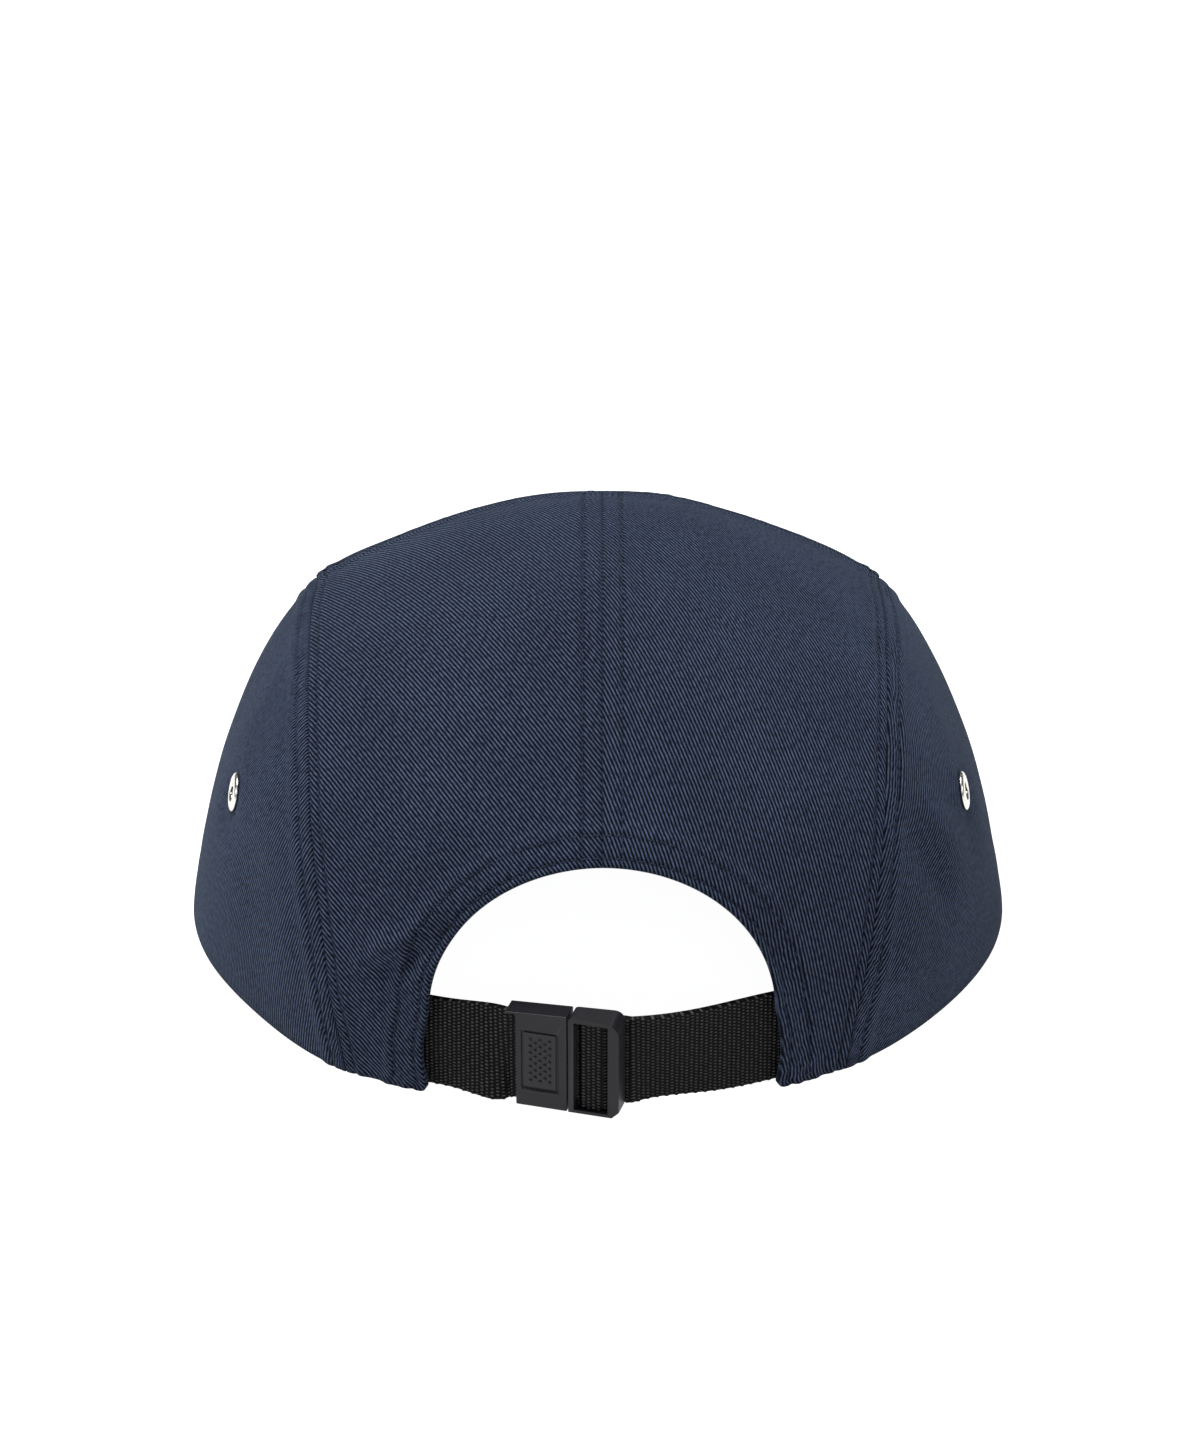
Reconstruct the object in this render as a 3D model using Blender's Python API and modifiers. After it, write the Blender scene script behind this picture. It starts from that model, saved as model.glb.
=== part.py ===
"""Five panel cap: a soft crown of five cloth panels with an arched opening at the back, a curved peak,
an eyelet in each side panel, and a webbing strap closed by a two-part buckle.

Metres, +Z up. The back of the cap looks along -Y and the peak points along +Y.
"""

import math
from collections import namedtuple

import bmesh
import bpy
import numpy as np
from mathutils import Matrix, Vector

# Crown: half width, half length and height above the rim, and the fan axis that its sections turn about
HALF_WIDTH = 0.090
HALF_LENGTH = 0.098
CROWN_HEIGHT = 0.088
FAN_DROP = 0.014
CLOTH = 0.0016
CLEARANCE = 0.0003

# The crown stands out a little along each side seam, where the doubled cloth is stiff
RIDGE_HEIGHT = 0.0038
RIDGE_WIDTH = 0.0175
RIDGE_OUTSIDE_SEAM = 0.003

# A row for each section, from the back (0) over the top (90) to the front (180): reach is a share of the
# crown's own ellipse, fullness its superellipse power across, seam the side seam's share of HALF_WIDTH
Section = namedtuple("Section", "angle reach fullness seam")
SECTIONS = (
    Section(angle=0, reach=0.956, fullness=1.76, seam=0.540),
    Section(angle=30, reach=1.002, fullness=2.04, seam=0.611),
    Section(angle=60, reach=1.019, fullness=2.17, seam=0.650),
    Section(angle=90, reach=1.000, fullness=2.10, seam=0.662),
    Section(angle=120, reach=1.009, fullness=2.17, seam=0.672),
    Section(angle=150, reach=1.047, fullness=2.15, seam=0.765),
    Section(angle=180, reach=1.010, fullness=2.10, seam=0.880),
)
TOP_SEAM_ANGLE = 113.0
CENTRE_SHIFT = 0.0009

# A row for each place where the cloth has sunk in: angle and side as in the sections, with its depth and
# spread as shares of HALF_WIDTH
Dent = namedtuple("Dent", "angle side depth spread")
DENTS = (Dent(angle=14, side=0.60, depth=0.019, spread=0.267),)

# Arched opening at the back: a half ellipse on two legs
ARCH_HALF = 0.0361
ARCH_TOP = 0.0489
ARCH_SPRING = 0.0180
LEG_BOW = 0.0013

# Peak
PEAK_THICKNESS = 0.0030
PEAK_HALF_WIDTH = 0.081
PEAK_RISE = 0.009
PEAK_REACH = 0.069
PEAK_START = 0.062
PEAK_FULLNESS = 2.3
PEAK_TUCK = 0.0040
PEAK_CORNER_AZIMUTH = 124.0
LIFT_AZIMUTHS = (109.0, 122.0)

# Eyelets: a row for each, with its height above the rim as a share of CROWN_HEIGHT, and how far behind the
# middle it sits as a share of HALF_LENGTH
Eyelet = namedtuple("Eyelet", "name side height behind")
EYELETS = (
    Eyelet(name="eyelet_left", side=-1, height=0.451, behind=0.279),
    Eyelet(name="eyelet_right", side=1, height=0.445, behind=0.262),
)
EYELET_RADIUS = 0.00425
EYELET_BARREL_RADIUS = 0.0028
EYELET_HOLE_RADIUS = 0.0021
EYELET_RIM = 0.0009

# Strap and buckle
STRAP_WIDTH = 0.0200
STRAP_THICKNESS = 0.0014
STRAP_RIM_HEIGHT = 0.0007
STRAP_TUCK = 0.0130

# A row for each strap: how far its lower and upper edges sway outwards and how far it dips, all greatest
# at the same share of the way to the buckle, as shares of STRAP_WIDTH
Sway = namedtuple("Sway", "side lower upper dip")
SWAYS = (
    Sway(side=-1, lower=0.12, upper=-0.07, dip=0.045),
    Sway(side=1, lower=-0.11, upper=-0.01, dip=0.0),
)
SWAY_PLACE = 0.75

BUCKLE_X = -0.0056
BUCKLE_Y = -0.0922
BUCKLE_YAW = -16.5
BUCKLE_FOOT = 0.0005
BUCKLE_THICKNESS = 0.0050
BUCKLE_LOWER_BAR = 0.0007
BUCKLE_UPPER_BAR = 0.0004
BUCKLE_TAPER = 0.0013
BUCKLE_BEVEL = 0.0003
SOCKET_LENGTH = 0.0134
SOCKET_POCKET = 0.0052
SOCKET_MOUTH = 0.0023
PLUG_LENGTH = 0.0110
PLUG_JOINT_BAR = 0.0013
PLUG_END_BAR = 0.0024
CROSS_BAR_THICKNESS = 0.0020
PAD_WIDTH = 0.0079
PAD_HEIGHT = 0.0140
PAD_DEPTH = 0.0004
PAD_MARGIN = 0.0020

CENTRE = np.array([0.0, 0.0, -FAN_DROP])
RADII = np.array([HALF_WIDTH, HALF_LENGTH, CROWN_HEIGHT + FAN_DROP])
STRAP_SLOT = STRAP_WIDTH + 2 * CLEARANCE
SLOT_MIDDLE = BUCKLE_LOWER_BAR + STRAP_SLOT / 2
LEFT = -1
RIGHT = 1


def section(angle):
    """Reach, fullness and seam at fan angles in degrees, on smooth curves through SECTIONS."""
    table = np.array(SECTIONS)
    step = table[1, 0] - table[0, 0]
    first, last = table[0].copy(), table[-1].copy()
    first[0] -= step
    last[0] += step
    table = np.vstack([first, table, last])
    knots = table[:, 0]
    at = np.clip(np.searchsorted(knots, angle) - 1, 0, len(knots) - 2)
    width = knots[at + 1] - knots[at]
    t = np.clip((angle - knots[at]) / width, 0, 1)
    values = []
    for column in (1, 2, 3):
        y = table[:, column]
        slope = np.gradient(y, knots)
        values.append(
            y[at] * (1 + 2 * t) * (1 - t) ** 2
            + slope[at] * width * t * (1 - t) ** 2
            + y[at + 1] * t * t * (3 - 2 * t)
            + slope[at + 1] * width * t * t * (t - 1)
        )
    return values


def on_crown(points):
    """Points moved along their rays from the fan's centre onto the crown's outer surface."""
    ray = np.atleast_2d(points) - CENTRE
    unit = ray / RADII
    swing = np.hypot(unit[:, 1], unit[:, 2])
    angle = np.degrees(np.arctan2(unit[:, 2], -unit[:, 1]))
    angle = np.where(angle < -90, angle + 360, angle)
    reach, fullness, seam = section(angle)
    share = (np.abs(unit[:, 0]) ** fullness + (swing / reach) ** fullness) ** (-1 / fullness)
    ray = ray * share[:, None]
    from_ridge = np.abs(ray[:, 0]) - seam * HALF_WIDTH - RIDGE_OUTSIDE_SEAM
    lift = RIDGE_HEIGHT * np.exp(-((from_ridge / RIDGE_WIDTH) ** 2))
    for dent in DENTS:
        swing = (1 - abs(dent.side) ** 2) ** 0.5
        turn = math.radians(dent.angle)
        place = RADII * (dent.side, -swing * math.cos(turn), swing * math.sin(turn))
        from_dent = np.linalg.norm(ray - place, axis=1) / (dent.spread * HALF_WIDTH)
        lift -= dent.depth * HALF_WIDTH * np.exp(-(from_dent**2))
    return CENTRE + ray * (1 + lift / np.linalg.norm(ray, axis=1))[:, None]


def crown_normals(points):
    """Outward unit normals of the crown at points on it."""
    ray = points - CENTRE
    ray = ray / np.linalg.norm(ray, axis=1)[:, None]
    across = np.cross(ray, [1.0, 0.0, 0.0])
    across /= np.linalg.norm(across, axis=1)[:, None]
    along = np.cross(ray, across)
    step = 0.0005
    one = on_crown(points + across * step) - on_crown(points - across * step)
    two = on_crown(points + along * step) - on_crown(points - along * step)
    normal = np.cross(one, two)
    normal /= np.linalg.norm(normal, axis=1)[:, None]
    return normal * np.sign(np.sum(normal * ray, axis=1))[:, None]


def bisect(function, low, high):
    """Where a rising function crosses zero, for whole arrays at once."""
    low, high = np.array(low, float), np.array(high, float)
    for _ in range(44):
        middle = (low + high) / 2
        above = function(middle) > 0
        high = np.where(above, middle, high)
        low = np.where(above, low, middle)
    return (low + high) / 2


def outside(points):
    """How far points lie outside the crown, along their rays."""
    return np.linalg.norm(points - CENTRE, axis=1) - np.linalg.norm(on_crown(points) - CENTRE, axis=1)


def fan_points(angle, side):
    """Crown points at fan angles, with side as the share of HALF_WIDTH from the middle."""
    reach, fullness, _ = section(angle)
    swing = reach * (1 - np.abs(side) ** fullness) ** (1 / fullness)
    radians = np.radians(angle)
    unit = np.stack([side, -swing * np.cos(radians), swing * np.sin(radians)], axis=1)
    return on_crown(CENTRE + unit * RADII)


def peak_top(x):
    """Height of the peak's upper face, which is curved across."""
    return PEAK_THICKNESS + PEAK_RISE * (1 - (x / PEAK_HALF_WIDTH) ** 2)


def rim_height(points):
    """Height of the crown's lower edge: on the floor, and lifted over the peak in front."""
    azimuth = np.degrees(np.arctan2(np.abs(points[:, 0]), -points[:, 1]))
    start, end = LIFT_AZIMUTHS
    t = np.clip((azimuth - start) / (end - start), 0, 1)
    return t * t * (3 - 2 * t) * (peak_top(points[:, 0]) + CLEARANCE)


def rim_points(azimuth):
    """Points of the crown's lower edge at plan azimuths: 0 at the back, 90 at the right, 180 in front."""
    radians = np.radians(azimuth)
    plan = np.stack([np.sin(radians), -np.cos(radians), 0 * radians], axis=1)

    def at(radius):
        points = plan * radius[:, None]
        points[:, 2] = rim_height(points)
        return points

    return at(bisect(lambda r: outside(at(r)), 0 * azimuth + HALF_WIDTH / 3, 0 * azimuth + 2 * HALF_WIDTH))


def azimuth_of(point):
    return math.degrees(math.atan2(point[0], -point[1])) % 360


def back_points(x, z):
    """Crown points behind, at given x and z."""
    x, z = np.broadcast_arrays(np.atleast_1d(x).astype(float), z)

    def at(depth):
        return np.stack([x, -depth, z], axis=1)

    return at(bisect(lambda d: outside(at(d)), 0 * x + HALF_LENGTH / 3, 0 * x + 1.5 * HALF_LENGTH))


def resample(points, count):
    """The same line with count points at equal steps of its length."""
    steps = np.linalg.norm(np.diff(points, axis=0), axis=1)
    length = np.concatenate([[0], np.cumsum(steps)])
    wanted = np.linspace(0, length[-1], count)
    return np.stack([np.interp(wanted, length, points[:, axis]) for axis in range(3)], axis=1)


def seam_angle_at_rim(low, high, rising):
    """Fan angle at which the side seam meets the lower edge."""

    def height(angle):
        points = fan_points(angle, section(angle)[2])
        return rising * (points[:, 2] - rim_height(points))

    return float(bisect(height, [low], [high])[0])


def side_seam(side, first, last, count):
    """The side seam from one fan angle to another."""
    angle = np.linspace(first, last, 240)
    return resample(fan_points(angle, side * section(angle)[2]), count)


def centre_seam(count):
    """The seam between the back panels, from the front panel down to the arch."""
    side = CENTRE_SHIFT / HALF_WIDTH
    low = bisect(lambda a: fan_points(a, 0 * a + side)[:, 2] - ARCH_TOP, [0], [90])[0]
    angle = np.linspace(TOP_SEAM_ANGLE, low, 200)
    return resample(fan_points(angle, 0 * angle + side), count)


def arch_edge(side, count):
    """The edge of the arch from its top down to the foot of one leg."""
    turn = np.linspace(0, math.pi / 2, 120)
    leg = np.linspace(0, 1, 40)[1:]
    across = np.concatenate([ARCH_HALF * np.sin(turn), ARCH_HALF + LEG_BOW * np.sin(math.pi * leg)])
    height = np.concatenate([ARCH_SPRING + (ARCH_TOP - ARCH_SPRING) * np.cos(turn), ARCH_SPRING * (1 - leg)])
    return resample(back_points(CENTRE_SHIFT + side * across, height), count)


def top_seam(side, count):
    """The front panel's upper seam, from the middle to a side seam."""
    share = side * float(section(np.array([TOP_SEAM_ANGLE]))[2][0])
    shares = np.linspace(CENTRE_SHIFT / HALF_WIDTH, share, 100)
    return resample(fan_points(0 * shares + TOP_SEAM_ANGLE, shares), count)


def rim_between(start, end, count):
    """The lower edge between two of its points, the short way round."""
    first, last = azimuth_of(start), azimuth_of(end)
    if last - first > 180:
        last -= 360
    if first - last > 180:
        first -= 360
    return resample(rim_points(np.linspace(first, last, 160)), count)


def coons(top, bottom, left, right):
    """A grid of crown points spanned by four boundary lines, rows from top to bottom."""
    v = np.linspace(0, 1, len(left))[:, None, None]
    u = np.linspace(0, 1, len(top))[None, :, None]
    grid = (1 - v) * top[None] + v * bottom[None] + (1 - u) * left[:, None] + u * right[:, None]
    grid = grid - (1 - u) * (1 - v) * top[0] - u * (1 - v) * top[-1]
    grid = grid - (1 - u) * v * bottom[0] - u * v * bottom[-1]
    rows, columns = grid.shape[:2]
    grid = on_crown(grid.reshape(-1, 3)).reshape(rows, columns, 3)
    grid[0], grid[-1] = top, bottom
    grid[:, 0], grid[:, -1] = left, right
    return grid


def pulled_in(grid, distance, sides):
    """The grid with its named sides moved inwards, square to themselves, to leave room for a neighbour."""
    grid = grid.copy()
    columns = grid.swapaxes(0, 1)
    views = {"top": grid, "left": columns, "right": columns[::-1]}
    for side in sides:
        view = views[side]
        edge, inner = view[0].copy(), view[1].copy()
        along = np.gradient(edge, axis=0)
        along /= np.linalg.norm(along, axis=1)[:, None]
        inward = inner - edge
        square = inward - np.sum(inward * along, axis=1)[:, None] * along
        inward = inward * (distance / np.maximum(np.linalg.norm(square, axis=1), distance))[:, None]
        view[0] = edge + inward
    return grid


def inside_face(grid, thickness):
    """The grid's other face, square to the crown, with its lowest row kept level with the rim."""
    flat = grid.reshape(-1, 3)
    inner = (flat - crown_normals(flat) * thickness).reshape(grid.shape)
    inner[-1, :, 2] = rim_height(inner[-1])
    return inner


def material(name, colour, roughness, metallic=0.0):
    """A plain finish with its colour, roughness and metallic value."""
    finish = bpy.data.materials.new(name)
    finish.use_nodes = True
    principled = finish.node_tree.nodes["Principled BSDF"]
    principled.inputs["Base Color"].default_value = (*colour, 1.0)
    principled.inputs["Roughness"].default_value = roughness
    principled.inputs["Metallic"].default_value = metallic
    finish.diffuse_color = (*colour, 1.0)
    return finish


def add_object(name, mesh, finish, group):
    """A bmesh made into a named object in a collection."""
    bmesh.ops.recalc_face_normals(mesh, faces=mesh.faces)
    data = bpy.data.meshes.new(name)
    mesh.to_mesh(data)
    mesh.free()
    data.materials.append(finish)
    data.shade_smooth()
    data.set_sharp_from_angle(angle=math.radians(40))
    piece = bpy.data.objects.new(name, data)
    group.objects.link(piece)
    return piece


def sheet_between(outer, inner):
    """A closed sheet from two matching grids of points."""
    rows, columns = outer.shape[:2]
    mesh = bmesh.new()
    bmesh.ops.create_grid(mesh, x_segments=columns - 1, y_segments=rows - 1, size=0.5)
    place = mesh.verts.layers.int.new("place")
    outer, inner = outer.reshape(-1, 3), inner.reshape(-1, 3)
    for number, vertex in enumerate(mesh.verts):
        vertex[place] = number
        vertex.co = Vector(outer[number])
    made = bmesh.ops.extrude_face_region(mesh, geom=mesh.faces[:])
    for item in made["geom"]:
        if isinstance(item, bmesh.types.BMVert):
            item.co = Vector(inner[item[place]])
    return mesh


def box(size, centre):
    """A box of the given size about a centre."""
    mesh = bmesh.new()
    bmesh.ops.create_cube(mesh, size=1.0)
    place = Matrix.Translation(centre) @ Matrix.Diagonal((*size, 1.0))
    bmesh.ops.transform(mesh, matrix=place, verts=mesh.verts)
    return mesh


def cut(piece, cutter):
    """Takes a cutter's shape out of a piece."""
    cutter.hide_render = True
    cutter.display_type = "WIRE"
    modifier = piece.modifiers.new("cut " + cutter.name, "BOOLEAN")
    modifier.operation = "DIFFERENCE"
    modifier.object = cutter


def round_edges(piece, width):
    """Small rounded edges."""
    modifier = piece.modifiers.new("rounded edges", "BEVEL")
    modifier.width = width
    modifier.segments = 2
    modifier.limit_method = "ANGLE"


def add_back_panel(side, name, finish, group):
    """Half of the back, from the front panel's seam down to the rim, beside the arch."""
    seam_rows, arch_rows, columns = 13, 9, 12
    inner_side = np.vstack([centre_seam(seam_rows + 1), arch_edge(side, arch_rows + 1)[1:]])
    rim_angle = seam_angle_at_rim(0, 45, 1)
    outer_side = side_seam(side, TOP_SEAM_ANGLE, rim_angle, seam_rows + arch_rows + 1)
    top = top_seam(side, columns + 1)
    bottom = rim_between(inner_side[-1], outer_side[-1], columns + 1)
    grid = coons(top, bottom, inner_side, outer_side)
    grid = pulled_in(grid, CLEARANCE / 2, ("top", "left", "right"))
    add_object(name, sheet_between(grid, inside_face(grid, CLOTH)), finish, group)


def add_front_panel(finish, group):
    """The front, from seam to seam and from the top seam down to the peak."""
    rows, columns = 16, 16
    rim_angle = seam_angle_at_rim(140, 176, -1)
    left = side_seam(LEFT, TOP_SEAM_ANGLE, rim_angle, rows + 1)
    right = side_seam(RIGHT, TOP_SEAM_ANGLE, rim_angle, rows + 1)
    top = resample(np.vstack([top_seam(LEFT, 60)[::-1], top_seam(RIGHT, 60)[1:]]), columns + 1)
    bottom = rim_between(left[-1], right[-1], columns + 1)
    grid = coons(top, bottom, left, right)
    grid = pulled_in(grid, CLEARANCE / 2, ("top", "left", "right"))
    add_object("front_panel", sheet_between(grid, inside_face(grid, CLOTH)), finish, group)


def add_side_panel(side, name, finish, group):
    """One side, under the long curved seam from the back rim to the front rim."""
    rows, columns = 10, 22
    back_angle = seam_angle_at_rim(0, 45, 1)
    front_angle = seam_angle_at_rim(140, 176, -1)
    back_corner, front_corner = 42.0, 138.0
    back = side_seam(side, back_corner, back_angle, rows + 1)
    front = side_seam(side, front_corner, front_angle, rows + 1)
    top = side_seam(side, back_corner, front_corner, columns + 1)
    bottom = rim_between(back[-1], front[-1], columns + 1)
    grid = coons(top, bottom, back, front)
    grid = pulled_in(grid, CLEARANCE / 2, ("top", "left", "right"))
    return add_object(name, sheet_between(grid, inside_face(grid, CLOTH)), finish, group)


def add_peak(finish, group):
    """The stiff peak, curved across, tucked in under the front panel."""
    rows, columns = 7, 22
    corners = np.linspace(PEAK_CORNER_AZIMUTH, 360 - PEAK_CORNER_AZIMUTH, columns + 1)
    root = rim_points(corners[::-1])
    inward = root / np.linalg.norm(root[:, :2], axis=1)[:, None]
    root = root - inward * PEAK_TUCK
    front = rim_points(np.array([180.0]))[0, 1]
    reach = front + PEAK_REACH - PEAK_START
    turn = np.radians(np.linspace(-90, 90, columns + 1))
    power = 2 / PEAK_FULLNESS
    edge = np.zeros_like(root)
    edge[:, 0] = PEAK_HALF_WIDTH * np.sign(turn) * np.abs(np.sin(turn)) ** power
    edge[:, 1] = PEAK_START + reach * np.abs(np.cos(turn)) ** power
    v = np.linspace(0, 1, rows + 1)[:, None, None]
    top = (1 - v) * root[None] + v * edge[None]
    top[..., 2] = peak_top(top[..., 0])
    under = top - np.array([0, 0, PEAK_THICKNESS])
    add_object("peak", sheet_between(top, under), finish, group)


def add_eyelet(eyelet, finish, group, cutters, panel):
    """A turned metal eyelet set through a side panel, and the hole it sits in."""

    behind, height = eyelet.behind * HALF_LENGTH, eyelet.height * CROWN_HEIGHT

    def at(x):
        return np.stack([eyelet.side * x, 0 * x - behind, 0 * x + height], axis=1)

    centre = at(bisect(lambda x: outside(at(x)), [HALF_WIDTH / 2], [1.5 * HALF_WIDTH]))
    normal = Vector(crown_normals(centre)[0])
    place = Matrix.Translation(Vector(centre[0])) @ normal.to_track_quat("Z", "Y").to_matrix().to_4x4()
    above, below = CLEARANCE, -CLOTH - CLEARANCE
    profile = (
        (EYELET_BARREL_RADIUS, above),
        (EYELET_RADIUS, above),
        (EYELET_RADIUS - EYELET_RIM / 3, above + EYELET_RIM / 2),
        ((EYELET_RADIUS + EYELET_HOLE_RADIUS) / 2, above + EYELET_RIM),
        (EYELET_HOLE_RADIUS, above + EYELET_RIM / 3),
        (EYELET_HOLE_RADIUS, below - EYELET_RIM / 2),
        (EYELET_RADIUS - EYELET_RIM / 3, below - EYELET_RIM / 2),
        (EYELET_RADIUS - EYELET_RIM / 3, below),
        (EYELET_BARREL_RADIUS, below),
    )
    mesh = bmesh.new()
    ring = [mesh.verts.new((radius, 0, height)) for radius, height in profile]
    edges = [mesh.edges.new((ring[i - 1], ring[i])) for i in range(len(ring))]
    bmesh.ops.spin(
        mesh, geom=ring + edges, cent=(0, 0, 0), axis=(0, 0, 1), angle=math.tau, steps=20, use_merge=True
    )
    bmesh.ops.remove_doubles(mesh, verts=mesh.verts, dist=1e-6)
    piece = add_object(eyelet.name, mesh, finish, group)
    piece.matrix_world = place
    hole = bmesh.new()
    radius = EYELET_BARREL_RADIUS + CLEARANCE
    bmesh.ops.create_cone(
        hole, cap_ends=True, segments=20, radius1=radius, radius2=radius, depth=6 * CLOTH
    )
    cutter = add_object(eyelet.name + "_hole", hole, finish, cutters)
    cutter.matrix_world = place
    cut(panel, cutter)


def buckle_place():
    """The buckle's own frame: X along it from socket to plug, -Y its front, its foot at zero."""
    turn = Matrix.Rotation(math.radians(BUCKLE_YAW), 4, "Z")
    return Matrix.Translation((BUCKLE_X, BUCKLE_Y, BUCKLE_FOOT)) @ turn


def strap_rows():
    """Heights across the strap above its lower edge."""
    return np.linspace(0, STRAP_WIDTH, 4)


def buckle_line(x, y):
    """Points across the strap's width at one place in the buckle's frame, in the cap's frame."""
    low = BUCKLE_LOWER_BAR + CLEARANCE
    return np.array([buckle_place() @ Vector((x, y, low + height)) for height in strap_rows()])


def strap_grid(sway, end_line, end_heading):
    """Middle face of one strap from inside its leg to the buckle, a row for each height across it."""
    side = sway.side
    leg_x = CENTRE_SHIFT + side * ARCH_HALF
    depth = CLOTH + CLEARANCE + STRAP_THICKNESS / 2
    inside = []
    for x in leg_x + side * np.linspace(STRAP_TUCK, 0, 5):
        wall = back_points(0 * strap_rows() + x, STRAP_RIM_HEIGHT + strap_rows())
        inside.append(wall - crown_normals(wall) * depth)
    start = inside[-1]
    heading = start - inside[-2]
    heading /= np.linalg.norm(heading, axis=1)[:, None]
    length = np.linalg.norm(end_line - start, axis=1)[:, None]
    outward = np.linspace(sway.lower, sway.upper, len(strap_rows()))
    shift = STRAP_WIDTH * np.stack([0 * outward, -outward, 0 * outward - sway.dip], axis=1)
    fullest = SWAY_PLACE**3 * (1 - SWAY_PLACE)
    free = []
    for t in np.linspace(0, 1, 9)[1:]:
        line = (
            start * (1 + 2 * t) * (1 - t) ** 2
            + heading * length * t * (1 - t) ** 2
            + end_line * t * t * (3 - 2 * t)
            + end_heading * length * t * t * (t - 1)
        )
        free.append(line + shift * t**3 * (1 - t) / fullest)
    return np.array(inside + free)


def add_strap(name, grid, finish, group):
    """Webbing of even thickness about its middle face."""
    along = np.gradient(grid, axis=0)
    across = np.gradient(grid, axis=1)
    normal = np.cross(along, across)
    normal /= np.linalg.norm(normal, axis=2)[..., None]
    half = normal * STRAP_THICKNESS / 2
    add_object(name, sheet_between(grid + half, grid - half), finish, group)


def add_left_strap(finish, group):
    """From the left leg into the socket's pocket."""
    turn = buckle_place().to_3x3()
    heading = np.array(turn @ Vector((1, 0, 0)))
    mouth = -SOCKET_LENGTH
    grid = strap_grid(SWAYS[0], buckle_line(mouth, 0.0), heading)
    pocket_end = mouth + SOCKET_POCKET - CLEARANCE
    grid = np.concatenate([grid, buckle_line(pocket_end, 0.0)[None]])
    add_strap("strap_left", grid, finish, group)


def add_right_strap(finish, group):
    """From the right leg behind the plug's end bar, forward and round its cross bar."""
    along_buckle = np.array(buckle_place().to_3x3() @ Vector((-1, 0, 0)))
    gap = STRAP_THICKNESS + 2 * CLEARANCE
    window_left, window_right = PLUG_JOINT_BAR, PLUG_LENGTH - PLUG_END_BAR
    right_gap, left_gap = window_right - gap / 2, window_left + gap / 2
    behind = BUCKLE_THICKNESS / 2 + CLEARANCE + STRAP_THICKNESS / 2
    front = -CLEARANCE - STRAP_THICKNESS / 2
    bend = STRAP_THICKNESS / 2 + CLEARANCE

    def arc(middle_x, middle_y, first, last, steps):
        angles = np.radians(np.linspace(first, last, steps))
        return [(middle_x + bend * math.cos(a), middle_y + bend * math.sin(a)) for a in angles]

    route = [
        *arc(window_right, behind - bend, 90, 160, 3),
        *arc(right_gap - bend, front + bend, 0, -90, 4),
        *arc(left_gap + bend, front + bend, 270, 180, 4),
        (left_gap, behind),
    ]
    end_line = buckle_line(PLUG_LENGTH + gap / 2, behind)
    leg = back_points(CENTRE_SHIFT + ARCH_HALF, STRAP_WIDTH / 2)
    to_leg = end_line[0, :2] - leg[0, :2]
    heading = along_buckle + np.array([*to_leg / np.linalg.norm(to_leg), 0.0])
    heading /= np.linalg.norm(heading)
    grid = strap_grid(SWAYS[1], end_line, heading)
    wrap = np.array([buckle_line(x, y) for x, y in route])
    add_strap("strap_right", np.concatenate([grid, wrap]), finish, group)


def tapered(mesh):
    """A buckle half's box with its top sloping up from the socket's mouth to the plug's end."""
    for vertex in mesh.verts:
        if vertex.co.z > SLOT_MIDDLE:
            vertex.co.z += BUCKLE_TAPER * (vertex.co.x + SOCKET_LENGTH) / (SOCKET_LENGTH + PLUG_LENGTH)
    return mesh


def add_buckle(finish, group, cutters):
    """Two halves that meet face to face: a socket with a pressed pad, and a plug with a window."""
    place = buckle_place()
    half_gap = CLEARANCE / 2
    depth = BUCKLE_THICKNESS / 2
    gap = STRAP_THICKNESS + 2 * CLEARANCE
    height = BUCKLE_LOWER_BAR + STRAP_SLOT + BUCKLE_UPPER_BAR

    def solid(name, length, middle_x):
        shape = tapered(box((length, BUCKLE_THICKNESS, height), (middle_x, 0, height / 2)))
        half = add_object(name, shape, finish, group)
        round_edges(half, BUCKLE_BEVEL)
        return half

    def cutter(name, width, thickness, tall, middle_x, middle_y):
        shape = box((width, thickness, tall), (middle_x, middle_y, SLOT_MIDDLE))
        return add_object(name, shape, finish, cutters)

    socket = solid("buckle_socket", SOCKET_LENGTH - half_gap, -(SOCKET_LENGTH + half_gap) / 2)
    plug = solid("buckle_plug", PLUG_LENGTH - half_gap, (PLUG_LENGTH + half_gap) / 2)
    pad_x = -PAD_MARGIN - PAD_WIDTH / 2
    socket_cutters = (
        cutter("pocket", 2 * SOCKET_POCKET, gap, STRAP_SLOT, -SOCKET_LENGTH, 0),
        cutter("mouth", 2 * SOCKET_MOUTH, 2 * depth, STRAP_SLOT, -SOCKET_LENGTH, -depth),
        cutter("pad", PAD_WIDTH, 2 * PAD_DEPTH, PAD_HEIGHT, pad_x, -depth),
    )
    left, right = PLUG_JOINT_BAR, PLUG_LENGTH - PLUG_END_BAR
    middle_x = (left + right) / 2
    plug_cutters = (
        cutter("window", right - left, 2 * depth, STRAP_SLOT, middle_x, -depth),
        cutter("slot_left", gap, 4 * depth, STRAP_SLOT, left + gap / 2, 0),
        cutter("slot_right", gap, 4 * depth, STRAP_SLOT, right - gap / 2, 0),
        cutter("behind_bar", right - left, 2 * depth, STRAP_SLOT, middle_x, CROSS_BAR_THICKNESS + depth),
    )
    for piece in (socket, plug, *socket_cutters, *plug_cutters):
        piece.matrix_world = place
    for half, shapes in ((socket, socket_cutters), (plug, plug_cutters)):
        for shape in shapes:
            cut(half, shape)


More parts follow.
